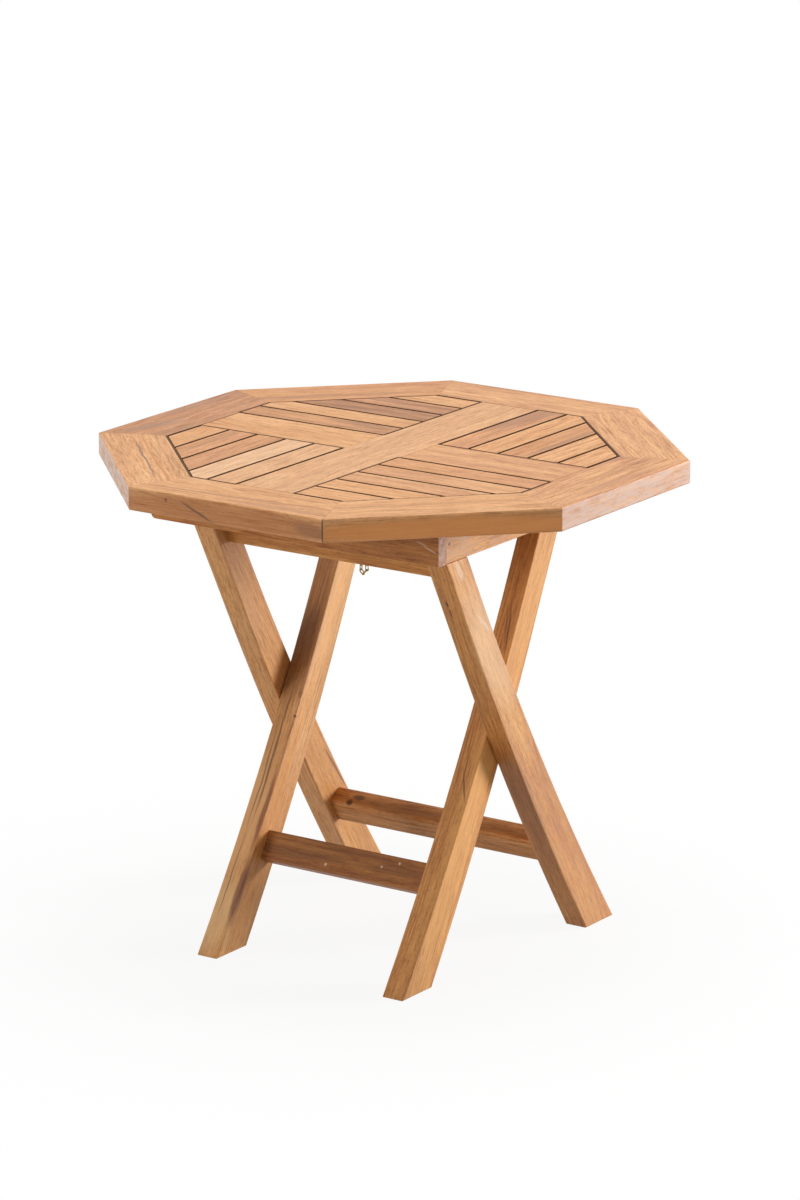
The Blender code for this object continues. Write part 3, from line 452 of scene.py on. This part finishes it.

# Veins, knots, worn spots and tints by piece, some of them painted shade, sheen and highlight: place
# along, across and through the piece from its middle, half sizes, turn, colour and strength. A frame
# board's across points outwards, its through down.
# the pale colour is pale wood on most pieces and a painted sheen on the right outer leg
VEIN, UMBER, REDDISH, PURPLISH, PALE_AND_SHEEN = "#6E4528", "#3E2418", "#8A4A2C", "#A07A62", "#EAD0B4"
MARKS = {
    "frame_board_front_left": (((0.0, 0.003, -0.017), (0.155, 0.0019, 0.03), (0, 0, 0), "#75554A", 0.85),),
    "frame_board_front": (
        ((0.0, 0.012, -0.017), (0.165, 0.0035, 0.012), (0, 0, -0.077), "#A06C46", 0.6),
        ((0.09, 0.030, -0.017), (0.11, 0.012, 0.012), (0, 0, -0.03), "#AE7850", 0.5),
        ((0.0, 0.052, 0.002), (0.30, 0.020, 0.022), (0, 0, 0), "#AD6526", 0.6),
        ((-0.048, 0.047, 0.003), (0.036, 0.010, 0.0024), (0, -0.40, 0), VEIN, 0.85),
        ((-0.101, 0.047, -0.006), (0.003, 0.006, 0.003), (0, 0, 0), VEIN, 0.9),
        ((0.145, 0.047, 0.002), (0.034, 0.010, 0.013), (0, -0.12, 0), "#8A5A3C", 0.5),
        ((0.1645, 0.047, 0.000), (0.0016, 0.010, 0.03), (0, 0, 0), UMBER, 0.9)),
    "frame_board_front_right": (((0.0, 0.052, 0.004), (0.30, 0.018, 0.022), (0, 0, 0), "#F8A258", 0.8),),
    "frame_board_left": (
        ((0.085, 0.006, -0.017), (0.075, 0.012, 0.03), (0, 0, 0.30), PURPLISH, 0.6),
        ((-0.06, 0.034, -0.017), (0.12, 0.009, 0.03), (0, 0, 0.03), PURPLISH, 0.45)),
    "frame_board_right": (((0.0, 0.030, -0.017), (0.13, 0.012, 0.02), (0, 0, 0.04), "#B9825E", 0.45),),
    "slat_back_right_1": (
        ((0.085, -0.008, -0.01), (0.135, 0.024, 0.05), (0, 0, 0.10), "#A3704C", 0.75),
        ((0.010, 0.006, -0.01), (0.06, 0.0016, 0.03), (0, 0, 0.12), VEIN, 0.5)),
    "slat_back_left_3": (((0.0, -0.004, -0.01), (0.11, 0.010, 0.05), (0, 0, 0.07), "#7A4A26", 0.5),),
    "slat_back_left_4": (((0.02, 0.004, -0.01), (0.10, 0.009, 0.05), (0, 0, 0.05), "#8A5630", 0.5),),
    "slat_front_left_1": (((0, 0, -0.01), (0.6, 0.06, 0.06), (0, 0, 0), PALE_AND_SHEEN, 0.12),),
    "slat_front_left_2": (((0, 0, -0.01), (0.6, 0.06, 0.06), (0, 0, 0), PALE_AND_SHEEN, 0.24),),
    "long_rail": (((0, 0, -0.01), (2.0, 0.2, 0.2), (0, 0, 0), PALE_AND_SHEEN, 0.1),),
    "slat_back_right_3": (((0.0, 0.016, -0.01), (0.13, 0.007, 0.03), (0, 0, 0), "#A3714C", 0.75),),
    "inner_leg_left": (
        # painted shade: the leg darker in its upper part, under the apron and down to where the legs cross
        ((-0.19, 0.000, -0.006), (0.24, 0.009, 0.04), (0, 0, 0), "#7A4A28", 0.45),
        ((-0.060, 0.001, -0.006), (0.09, 0.009, 0.04), (0, 0, 0), "#5A341A", 0.45),
        ((0.21, -0.006, -0.008), (0.28, 0.012, 0.024), (0, 0, 0.02), "#F4BC80", 0.75),
        ((0.36, -0.017, -0.004), (0.10, 0.012, 0.03), (0, 0, 0), "#FFD49C", 0.6),
        ((0.22, 0.000, 0.020), (0.22, 0.06, 0.012), (0, 0, 0), "#C47E3C", 0.4),
        ((-0.20, 0.000, 0.020), (0.22, 0.06, 0.012), (0, 0, 0), "#F2BC80", 0.45),
        ((0.100, -0.002, 0.000), (0.13, 0.010, 0.0024), (0, 0, 0), VEIN, 0.8),
        ((0.130, -0.003, -0.0065), (0.10, 0.010, 0.0018), (0, 0, 0), VEIN, 0.7),
        ((0.190, -0.004, 0.0135), (0.09, 0.010, 0.0045), (0, 0, 0), REDDISH, 0.75),
        ((0.300, -0.016, 0.0150), (0.07, 0.012, 0.007), (0, 0, 0), "#74402A", 0.75),
        ((0.280, -0.014, -0.006), (0.10, 0.012, 0.0016), (0, 0, 0), VEIN, 0.6),
        ((0.033, 0.000, 0.0172), (0.0022, 0.007, 0.0030), (0, 0.6, 0), UMBER, 0.8)),
    "inner_leg_right": (
        ((0.0, 0.000, 0.022), (0.50, 0.06, 0.012), (0, 0, 0), "#F0AE62", 0.45),
        ((0.085, -0.001, 0.005), (0.030, 0.008, 0.0018), (0, -0.35, 0), VEIN, 0.85),
        ((0.040, 0.001, -0.003), (0.070, 0.008, 0.0016), (0, -0.10, 0), VEIN, 0.5),
        ((-0.148, 0.0015, 0.0065), (0.040, 0.008, 0.0022), (0, -0.12, 0), VEIN, 0.8),
        ((-0.155, 0.0015, 0.0005), (0.040, 0.008, 0.0015), (0, -0.20, 0), VEIN, 0.6)),
    "outer_leg_left": (
        ((0.0, 0.000, 0.020), (0.60, 0.06, 0.012), (0, 0, 0), "#B47434", 0.45),
        ((0.143, 0.006, 0.018), (0.055, 0.0026, 0.010), (0, 0, 0.10), "#7C4A28", 0.8),
        ((0.115, 0.014, 0.018), (0.060, 0.0040, 0.010), (0, 0, 0.06), "#A4602E", 0.6)),
    "outer_leg_right": (
        ((0.30, 0.000, 0.022), (0.36, 0.06, 0.012), (0, 0, 0), "#C07C48", 0.45),
        # painted sheen: the outer face paler towards its top
        ((-0.21, 0.000, 0.022), (0.14, 0.06, 0.012), (0, 0, 0), "#F4CCA0", 0.4),
        ((0.08, -0.046, 0.004), (0.17, 0.012, 0.03), (0, 0, 0), "#7A4A26", 0.5),
        ((-0.306, -0.030, -0.0064), (0.006, 0.008, 0.0024), (0, 0, 0), UMBER, 0.95),
        ((-0.289, -0.031, -0.0050), (0.010, 0.008, 0.0014), (0, 0, 0), UMBER, 0.8),
        # painted sheen: pale streaks on the outer face
        ((-0.354, -0.006, 0.018), (0.024, 0.007, 0.008), (0, 0, 0), PALE_AND_SHEEN, 0.5),
        ((-0.244, 0.001, 0.018), (0.028, 0.004, 0.008), (0, 0, 0.25), PALE_AND_SHEEN, 0.5)),
    "outer_stretcher": (
        ((-0.151, 0.012, 0.021), (0.007, 0.006, 0.008), (0, 0, 0), UMBER, 0.95),
        ((-0.140, 0.019, 0.010), (0.014, 0.004, 0.010), (0, 0, 0), UMBER, 0.75),
        ((0.000, 0.014, 0.010), (0.30, 0.009, 0.020), (0, 0, 0), "#7A4A24", 0.5)),
    "inner_stretcher": (
        ((0.0, 0.014, 0.016), (0.40, 0.020, 0.03), (0, 0, 0), "#74482A", 0.35),
        # painted highlight: an orange line along the rounded bottom edge of the front face
        ((0.0, -0.022, 0.016), (0.40, 0.007, 0.01), (0, 0, 0), "#DE8C42", 0.55),
        ((-0.033, -0.003, 0.016), (0.0026, 0.0024, 0.004), (0, 0, 0), PALE_AND_SHEEN, 0.9),
        ((0.061, 0.008, 0.0094), (0.0022, 0.0020, 0.004), (0, 0, 0), PALE_AND_SHEEN, 0.8),
        ((0.089, 0.017, 0.0036), (0.0024, 0.0022, 0.004), (0, 0, 0), PALE_AND_SHEEN, 0.9)),
    "front_rail": (
        # painted shade: the front face darker towards its top, under the top's rim
        ((0.0, 0.020, 0.009), (0.60, 0.050, 0.05), (0, 0, 0), "#84501F", 0.5),
        ((0.236, -0.019, 0.0095), (0.016, 0.0013, 0.006), (0, 0, -0.35), PALE_AND_SHEEN, 0.6),
        ((0.222, -0.012, 0.0095), (0.012, 0.0011, 0.006), (0, 0, -0.20), PALE_AND_SHEEN, 0.5)),
    "side_rail_right": (((-0.189, -0.014, 0.018), (0.0034, 0.0034, 0.006), (0, 0, 0), UMBER, 0.95),),
}

# Faces with a painted sheen, pale and uneven: their direction, tone and strength
DIAGONAL = math.sqrt(0.5)
SHEEN_FACES = {
    "frame_board_right": (X, "painted_sheen", 0.75),
    "frame_board_front_left": ((-DIAGONAL, -DIAGONAL, 0), "strong_sheen", 0.9),
    "front_rail": (X, "painted_sheen", 0.7),
    "side_rail_right": (X, "painted_sheen", 0.4),
    "outer_leg_right": (X, "painted_sheen", 0.12),
}


class TABLE_OT_finish_top(bpy.types.Operator):
    """Oiled teak on the frame boards, middle rails and slats, each board with its own figure"""
    bl_idname = "table.finish_top"
    bl_label = "Finish the Top"

    def execute(self, context):
        look = context.scene.teak_finish
        # strips of painted shade beside the gaps: wide at the slats' ends, narrow along their sides
        wide, narrow = look.end_shade_line, look.side_shade_line
        low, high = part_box("frame_board_right")
        board_half = (high.x - low.x) / 2
        long_half, short_half = size_of("long_rail").x / 2, size_of("short_rail_left").y / 2
        for i, (name, (tones, streak)) in enumerate(BOARD_LOOKS.items()):
            turn = math.radians(45 * i)
            outward = (math.cos(turn), math.sin(turn), 0)
            middle = Vector(outward) * (high.x - board_half)
            middle.z = (low.z + high.z) / 2
            # the straight boards meet slats' ends on one side of a rail and slats' sides on the other
            if name in ("right", "back", "left", "front"):
                lines = ((-1, board_half, -FAR, -long_half, wide), (-1, board_half, long_half, FAR, narrow))
            else:
                part = 1.0 if name in ("front_left", "back_right") else 0.7
                lines = ((-1, board_half, -FAR, FAR, part * wide),)
            teak("frame_board_" + name, (-outward[1], outward[0], 0), outward, tones,
                 seed=3.1 + 1.7 * i, streak=streak, pith=(0.03 * (-1) ** i, -0.06), middle=middle,
                 gap_faces=(-outward[0], -outward[1], 0),
                 gap_depth=middle.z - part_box("long_rail")[0].z, edge_lines=lines)

        # strips of painted shade along the rails' edges, beside the gaps
        lines = {
            "long_rail": ((1, long_half, -FAR, -short_half, wide),
                          (1, long_half, short_half, FAR, narrow),
                          (-1, long_half, -FAR, -short_half, narrow),
                          (-1, long_half, short_half, FAR, wide)),
            "short_rail_right": ((1, short_half, -FAR, FAR, wide), (-1, short_half, -FAR, FAR, narrow)),
            "short_rail_left": ((-1, short_half, -FAR, FAR, wide), (1, short_half, -FAR, FAR, narrow)),
        }
        for i, (node, (tones, streak)) in enumerate(RAIL_LOOKS.items()):
            axes = (Y, X) if node == "long_rail" else (X, Y)
            teak(node, *axes, tones, seed=21.3 + 2.9 * i, streak=streak, pith=(0.02, -0.07),
                 gap_faces=UP, edge_lines=lines[node])

        for q, (quarter, looks) in enumerate(SLAT_LOOKS.items()):
            along, across = (Y, X) if quarter in ("back_right", "front_left") else (X, Y)
            for i, (tones, streak) in enumerate(looks):
                node = "slat_%s_%d" % (quarter, i + 1)
                half = size_of(node).dot(Vector(across)) / 2
                teak(node, along, across, tones, seed=40.7 + 7.3 * q + 1.3 * i, streak=streak,
                     pith=(0.015 * (-1) ** i, -0.045), gap_faces=UP,
                     edge_lines=((1, half, -FAR, FAR, narrow), (-1, half, -FAR, FAR, narrow)))
        return {"FINISHED"}


class TABLE_OT_finish_apron(bpy.types.Operator):
    """Oiled teak on the four rails under the top"""
    bl_idname = "table.finish_apron"
    bl_label = "Finish the Apron"

    def execute(self, context):
        looks = {
            "side_rail_right": (Y, ("amber", "russet"), 0.1),
            "side_rail_left": (Y, ("amber", "russet"), 0.2),
            "front_rail": (X, ("russet", "nut"), 0.5),
            "back_rail": (X, ("amber", "russet"), 0.2),
        }
        for i, (node, (along, tones, streak)) in enumerate(looks.items()):
            teak(node, along, UP, tones, seed=70.9 + 3.3 * i, streak=streak,
                 pith=(0.03, -0.05), specular=SHELTERED)
        return {"FINISHED"}


class TABLE_OT_finish_legs(bpy.types.Operator):
    """Oiled teak on both leg frames, the grain along each leg"""
    bl_idname = "table.finish_legs"
    bl_label = "Finish the Leg Frames"

    def execute(self, context):
        # tones, streaks, and the side, along Y, to which the leg's foot stands
        looks = {
            "outer_leg_right": (("amber", "russet"), 0.2, 1),
            "outer_leg_left": (("honey", "amber"), 0.1, 1),
            "inner_leg_right": (("amber", "russet"), 0.3, -1),
            "inner_leg_left": (("honey", "amber"), 0.25, -1),
        }
        for i, (node, (tones, streak, side)) in enumerate(looks.items()):
            size = size_of(node)
            teak(node, (0, side * (size.y - LEG_WIDTH), -size.z), Y, tones,
                 seed=90.1 + 2.7 * i, streak=streak, pith=(0.02, -0.05))
        bars = {
            "outer_stretcher": (("honey", "russet"), 0.4),
            "inner_stretcher": (("russet", "nut"), 0.5),
            "outer_crossbar": (("amber", "russet"), 0.2),
        }
        for i, (node, (tones, streak)) in enumerate(bars.items()):
            teak(node, X, UP, tones, seed=110.3 + 4.1 * i, streak=streak,
                 pith=(0.01, -0.04), specular=SHELTERED)
        return {"FINISHED"}


# Metal

def metal(name, colour, roughness, grain):
    """Bare metal with a soft gloss, slightly tarnished in places.

    grain is the distance between its fine scratches, drawn coarser than real ones so that they show.
    """
    material, tree = new_material(name)
    coords = add_node(tree, "ShaderNodeTexCoord")
    scratches = add_node(tree, "ShaderNodeTexNoise", {
        "Vector": coords.outputs["Object"], "Scale": 1.0 / grain, "Detail": 3.0, "Roughness": 0.6})
    gloss = add_node(tree, "ShaderNodeMapRange", {
        "Value": scratches, "From Min": 0.3, "From Max": 0.7,
        "To Min": roughness - 0.08, "To Max": roughness + 0.1})
    tarnish = add_node(tree, "ShaderNodeValToRGB", {"Fac": scratches}, ((0.35, 0.82), (0.6, 1.0)))
    tint = add_node(tree, "ShaderNodeMix", {"Factor": 1.0, "A": opaque(colour), "B": tarnish},
                    data_type="RGBA", blend_type="MULTIPLY").outputs["Result"]
    shader = add_node(tree, "ShaderNodeBsdfPrincipled", {
        "Base Color": tint, "Metallic": 1.0, "Roughness": gloss})
    add_node(tree, "ShaderNodeOutputMaterial", {"Surface": shader})
    return material


class TABLE_OT_finish_fasteners(bpy.types.Operator):
    """Zinc-plated steel on bolts, nuts, washers and screws, brass on the pivot pins"""
    bl_idname = "table.finish_fasteners"
    bl_label = "Finish the Fasteners"

    def execute(self, context):
        lock = context.scene.lock_sizes
        # seen as a cool pale glint where the inner legs meet the side rails
        steel = metal("zinc_plated_steel", lock.steel, roughness=0.34, grain=0.002)
        # seen as a warm thin line between the crossed legs
        brass = metal("turned_brass", lock.brass, roughness=0.3, grain=0.002)
        for node in NODES:
            if node.startswith(("hinge_", "apron_screw")):
                give(node, steel)
            elif node.startswith("pivot_"):
                give(node, brass)
        return {"FINISHED"}


# The lock hangs from the back of the crossbar, a little right of the middle.
CHAIN_EYE = (Vector((0.030, -0.128411, 0.622090)), Vector((0, 0.886204, 0.463296)))
TOP_EYE = (Vector((0.030, -0.110, 0.715)), Vector((0, 0, -1)))
EYE_NECK, EYE_SHANK = 0.010, 0.012
EYE_TURN, EYE_STEPS = math.radians(331), 28     # the ring stops just short of its neck
STRAND_SPREAD = 0.0023      # each side of the eye's middle, where the chain's two ends hang
CLEARANCE = 0.0003          # between the last link and the hook's loop
EYE_ROOM = 0.0007           # over the eye's wire, which lies askew where the two ends hang
LINKS_DOWN, LINKS_UP = 7, 4
BOTTOM_SLOPE = math.radians(45)     # of the two links between the chain's two runs
HOOK_TIP = 0.003            # straight end past the hook's bend
HOOK_LOOP, LOOP_STEPS = math.radians(300), 20
BEND_STEPS = 12
WIRE_SIDES = 16
LINK_STEPS, LINK_SIDES = 24, 12


def bent_wire(name, start, heading, radius, moves):
    """Round wire: drawn out along a vector, or spun by (centre, axis, angle, steps), its tip eased.

    Without a window, spin turns clockwise as seen against the axis.
    """
    deselect_all()
    bpy.ops.mesh.primitive_circle_add(
        vertices=WIRE_SIDES, radius=radius, fill_type="NGON", location=start,
        rotation=heading.to_track_quat("Z", "Y").to_euler())
    piece = bpy.context.active_object
    piece.name = name
    bpy.ops.object.transform_apply(location=True, rotation=True, scale=True)
    bpy.ops.object.mode_set(mode="EDIT")
    bpy.ops.mesh.select_all(action="SELECT")
    for move in moves:
        if isinstance(move, Vector):
            bpy.ops.mesh.extrude_region_move(TRANSFORM_OT_translate={"value": move})
        else:
            centre, axis, angle, steps = move
            bpy.ops.mesh.spin(steps=steps, angle=angle, center=centre, axis=axis)
    bpy.ops.mesh.bevel(offset=radius * 0.5, segments=2, affect="EDGES")
    bpy.ops.mesh.select_all(action="SELECT")
    bpy.ops.mesh.normals_make_consistent(inside=False)
    bpy.ops.object.mode_set(mode="OBJECT")
    bpy.ops.object.shade_smooth()
    return piece


def upright_eye(lock):
    """A ring left just open beside its neck, above a shank that goes down into the wood."""
    outward = Vector(UP)
    ring = outward * (EYE_NECK + lock.eye_radius)
    shank = bent_wire("eye_shank", -outward * EYE_SHANK, outward, lock.eye_wire, (
        outward * EYE_SHANK, outward * (EYE_NECK - 0.2 * lock.eye_wire)))
    eye = bent_wire("upright_eye", outward * EYE_NECK, Vector(X), lock.eye_wire, (
        (ring, Vector(Y), EYE_TURN, EYE_STEPS),))
    shank.select_set(True)
    bpy.ops.object.join()
    return eye


def level_link(length, lock):
    """An oval link along X: a ring round the origin whose far half is pulled out."""
    deselect_all()
    bpy.ops.mesh.primitive_torus_add(major_segments=LINK_STEPS, minor_segments=LINK_SIDES,
                                     major_radius=lock.link_width / 2, minor_radius=lock.link_wire)
    link = bpy.context.active_object
    link.name = "level_link"
    bpy.ops.object.mode_set(mode="EDIT")
    bpy.ops.mesh.select_all(action="DESELECT")
    bpy.ops.object.mode_set(mode="OBJECT")
    for vertex in link.data.vertices:
        vertex.select = vertex.co.x > lock.link_width * 0.01    # past the ring's middle
    bpy.ops.object.mode_set(mode="EDIT")
    bpy.ops.transform.translate(value=(length - lock.link_width, 0, 0))
    bpy.ops.object.mode_set(mode="OBJECT")
    bpy.ops.object.shade_smooth()
    return link


def placed_copy(piece, name, place, x, y):
    """A copy with its own mesh, which is moved and so turned that its X and Y become x and y."""
    copy = piece.copy()
    copy.name = name
    copy.data = piece.data.copy()
    copy.data.transform(Matrix.Translation(place) @ Matrix((x, y, x.cross(y))).transposed().to_4x4())
    bpy.context.collection.objects.link(copy)
    return copy


class TABLE_OT_hang_chain(bpy.types.Operator):
    """Brass lock chain hung double from its screw eye, its hook, and the eye under the top"""
    bl_idname = "table.hang_chain"
    bl_label = "Hang the Lock Chain"

    def execute(self, context):
        lock = context.scene.lock_sizes
        # seen as thin bright lines below the apron, against the white
        brass = metal("drawn_brass_wire", lock.brass, roughness=0.30, grain=0.0015)
        hold = 2 * lock.link_wire       # by which each link reaches into the next
        length = lock.link_pitch + hold
        eye_pattern, link_pattern = upright_eye(lock), level_link(length, lock)
        sideways = Vector(X)
        pieces = [(placed_copy(eye_pattern, name, place, sideways, outward.cross(sideways)), body, node)
                  for name, (place, outward), body, node in (
                      ("chain_screw_eye", CHAIN_EYE, "outer_frame", "chain_eye"),
                      ("top_screw_eye", TOP_EYE, "top", "top_eye"))]

        base, outward = CHAIN_EYE
        reach = math.sqrt(lock.eye_radius ** 2 - STRAND_SPREAD ** 2)
        swing = base + outward * (EYE_NECK + lock.eye_radius + reach)
        # one run down, two links across the bottom, and the run up to the hook
        across, drop = math.cos(BOTTOM_SLOPE), math.sin(BOTTOM_SLOPE)
        lean = math.asin((lock.link_pitch * across - STRAND_SPREAD) / (LINKS_DOWN * lock.link_pitch))
        down = Vector((-math.sin(lean), 0, -math.cos(lean)))
        up = Vector((-math.sin(lean), 0, math.cos(lean)))
        runs = [down] * LINKS_DOWN + [Vector((across, 0, -drop)), Vector((across, 0, drop))]
        runs += [up] * LINKS_UP
        start = swing + Vector((-STRAND_SPREAD, 0, lock.eye_wire + lock.link_wire + EYE_ROOM))
        for i, along in enumerate(runs):
            flat = i % 2 == 1
            if i:
                start = end - (along if flat else runs[i - 1]) * hold
            wide = Vector((along.z, 0, -along.x)) if flat else Vector(Y)
            link = placed_copy(link_pattern, "lock_link_%d" % (i + 1), start + along * lock.link_width / 2,
                               along, wide)
            pieces.append((link, "lock_chain_hung", "lock_chain"))
            end = start + along * length
        for pattern in (eye_pattern, link_pattern):
            bpy.data.objects.remove(pattern)

        # the hook: a bend over the eye's wire, a shank, and a loop round the last link
        bend = swing + Vector((STRAND_SPREAD, 0, 2 * lock.eye_wire + EYE_ROOM - lock.hook_bend))
        back = Vector((0, lock.hook_bend, 0))
        foot = (bend + back - end) * Vector((1, 0, 1))
        foot.normalize()
        side = Vector((foot.z, 0, -foot.x))
        loop = end + foot * (lock.link_width / 2 - lock.link_wire - lock.eye_wire - CLEARANCE)
        tip = Vector((0, 0, HOOK_TIP))
        hook = bent_wire("lock_hook_wire", bend - back - tip, tip, lock.eye_wire, (
            tip, (bend, sideways, math.pi, BEND_STEPS),
            loop + side * lock.link_width / 2 - bend - back,
            (loop, side.cross(foot), HOOK_LOOP, LOOP_STEPS)))
        pieces.append((hook, "lock_chain_hung", "lock_hook"))
        for piece, body, node in pieces:
            piece.data.materials.append(brass)
            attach(piece, body)
            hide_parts(node)
        return {"FINISHED"}


# Studio

# Place, height at which the lamp is aimed, diameter and colour; the strengths are settings.
LAMPS = {
    "window": ((4.0, 3.6, 1.15), 0.5, 2.0, "#FFFFFF"),
    "overhead": ((0.2, 0.2, 4.2), 0.6, 2.6, "#FFFFFF"),
    "fill": ((-2.8, -4.2, 1.1), 0.4, 2.0, "#FFEEDC"),
}
SHADE_NEAR, SHADE_FAR = 0.4, 1.2    # between these distances the floor's shadow fades out
CAMERA_PLACE = (4.279, -6.139, 2.537)
CAMERA_ANGLES = (34.785, 15.179, -0.2106)   # azimuth, elevation and roll, degrees


def area_lamp(name, place, target, size, watts, colour):
    data = bpy.data.lights.new(name, "AREA")
    data.shape = "DISK"
    data.size = size
    data.energy = watts
    data.color = colour
    lamp = bpy.data.objects.new(name, data)
    lamp.location = place
    lamp.rotation_euler = (Vector(target) - Vector(place)).to_track_quat("-Z", "Y").to_euler()
    bpy.context.scene.collection.objects.link(lamp)


def seen_or_reflected(tree):
    """1 for rays from the camera and for reflected and transmitted ones."""
    path = add_node(tree, "ShaderNodeLightPath").outputs
    total = add_node(tree, "ShaderNodeMath", {0: path["Is Camera Ray"], 1: path["Is Glossy Ray"]},
                     operation="MAXIMUM")
    return add_node(tree, "ShaderNodeMath", {0: total, 1: path["Is Transmission Ray"]},
                    operation="MAXIMUM")


def white_floor(shade):
    """Floor material that gives the eye clean white ground with only a breath of shadow."""
    material, tree = new_material("white_floor")
    paper = add_node(tree, "ShaderNodeBsdfDiffuse", {"Color": (0.45, 0.45, 0.45, 1)})
    shaded = add_node(tree, "ShaderNodeBsdfDiffuse", {"Color": (0.97, 0.97, 0.97, 1)})
    glow = add_node(tree, "ShaderNodeEmission", {"Color": (1, 1, 1, 1), "Strength": 1.0})
    place = add_node(tree, "ShaderNodeTexCoord").outputs["Object"]
    away = add_node(tree, "ShaderNodeVectorMath", {0: place}, operation="LENGTH").outputs["Value"]
    near = add_node(tree, "ShaderNodeMapRange", {
        "Value": away, "From Min": SHADE_NEAR, "From Max": SHADE_FAR, "To Min": shade, "To Max": 0.0})
    seen = add_node(tree, "ShaderNodeMixShader", {0: near, 1: glow, 2: shaded})
    whole = add_node(tree, "ShaderNodeMixShader", {0: seen_or_reflected(tree), 1: paper, 2: seen})
    add_node(tree, "ShaderNodeOutputMaterial", {"Surface": whole})
    return material


def even_world(strength):
    """Even light all round; the camera and reflections see plain white."""
    world = bpy.data.worlds.new("studio_light")
    world.use_nodes = True
    tree = world.node_tree
    tree.nodes.clear()
    even = add_node(tree, "ShaderNodeBackground", {"Color": (1, 1, 1, 1), "Strength": strength})
    white = add_node(tree, "ShaderNodeBackground", {"Color": (1, 1, 1, 1), "Strength": 1.0})
    mix = add_node(tree, "ShaderNodeMixShader", {0: seen_or_reflected(tree), 1: even, 2: white})
    add_node(tree, "ShaderNodeOutputWorld", {"Surface": mix})
    return world


def aimed_camera(lens):
    data = bpy.data.cameras.new("camera")
    data.lens = lens
    data.sensor_width = 36
    data.clip_start, data.clip_end = 0.1, 200
    camera = bpy.data.objects.new("camera", data)
    camera.location = CAMERA_PLACE
    azimuth, elevation, roll = (math.radians(v) for v in CAMERA_ANGLES)
    back = Vector((math.sin(azimuth) * math.cos(elevation), -math.cos(azimuth) * math.cos(elevation),
                   math.sin(elevation)))
    right = (-back).cross(Vector(UP)).normalized()
    up = right.cross(-back)
    turned = Matrix((right * math.cos(roll) + up * math.sin(roll),
                     up * math.cos(roll) - right * math.sin(roll), back)).transposed()
    camera.rotation_euler = turned.to_euler()
    bpy.context.scene.collection.objects.link(camera)
    return camera


class TABLE_OT_set_stage(bpy.types.Operator):
    """White floor, even world light, three large lamps and the camera"""
    bl_idname = "table.set_stage"
    bl_label = "Set the Stage"

    def execute(self, context):
        scene = context.scene
        studio = scene.studio_settings
        deselect_all()
        bpy.ops.mesh.primitive_plane_add(size=60, location=(0, 0, 0))
        floor = context.active_object
        floor.name = "studio_floor"
        floor.data.materials.append(white_floor(studio.floor_shade))
        scene.world = even_world(studio.world)
        for name, (place, height, size, code) in LAMPS.items():
            area_lamp(name + "_lamp", place, (0, 0, height), size, getattr(studio, name), linear(code))
        scene.camera = aimed_camera(studio.lens)
        scene.view_settings.view_transform = "Standard"
        return {"FINISHED"}


class VIEW3D_PT_teak_table(bpy.types.Panel):
    """Pieces and studio of the folding table"""
    bl_label = "Teak Table"
    bl_idname = "VIEW3D_PT_teak_table"
    bl_space_type = "VIEW_3D"
    bl_region_type = "UI"
    bl_category = "Teak Table"

    def draw(self, context):
        for group in GROUPS:
            settings = getattr(context.scene, group)
            box = self.layout.box()
            for name in settings.bl_rna.properties.keys():
                if name not in ("rna_type", "name"):
                    box.prop(settings, name)
        for operator in OPERATORS:
            self.layout.operator(operator.bl_idname)


GROUPS = {"teak_finish": TeakFinish, "lock_sizes": LockSizes, "studio_settings": StudioSettings}
OPERATORS = (TABLE_OT_finish_top, TABLE_OT_finish_apron, TABLE_OT_finish_legs, TABLE_OT_finish_fasteners,
             TABLE_OT_hang_chain, TABLE_OT_set_stage)


def register():
    for name, group in GROUPS.items():
        bpy.utils.register_class(group)
        setattr(bpy.types.Scene, name, bpy.props.PointerProperty(type=group))
    for operator in OPERATORS:
        bpy.utils.register_class(operator)
    bpy.utils.register_class(VIEW3D_PT_teak_table)


def unregister():
    bpy.utils.unregister_class(VIEW3D_PT_teak_table)
    for operator in reversed(OPERATORS):
        bpy.utils.unregister_class(operator)
    for name, group in GROUPS.items():
        delattr(bpy.types.Scene, name)
        bpy.utils.unregister_class(group)


def main():
    register()
    bpy.ops.table.finish_top()
    bpy.ops.table.finish_apron()
    bpy.ops.table.finish_legs()
    bpy.ops.table.finish_fasteners()
    bpy.ops.table.hang_chain()
    bpy.ops.table.set_stage()


if __name__ == "__main__":
    main()
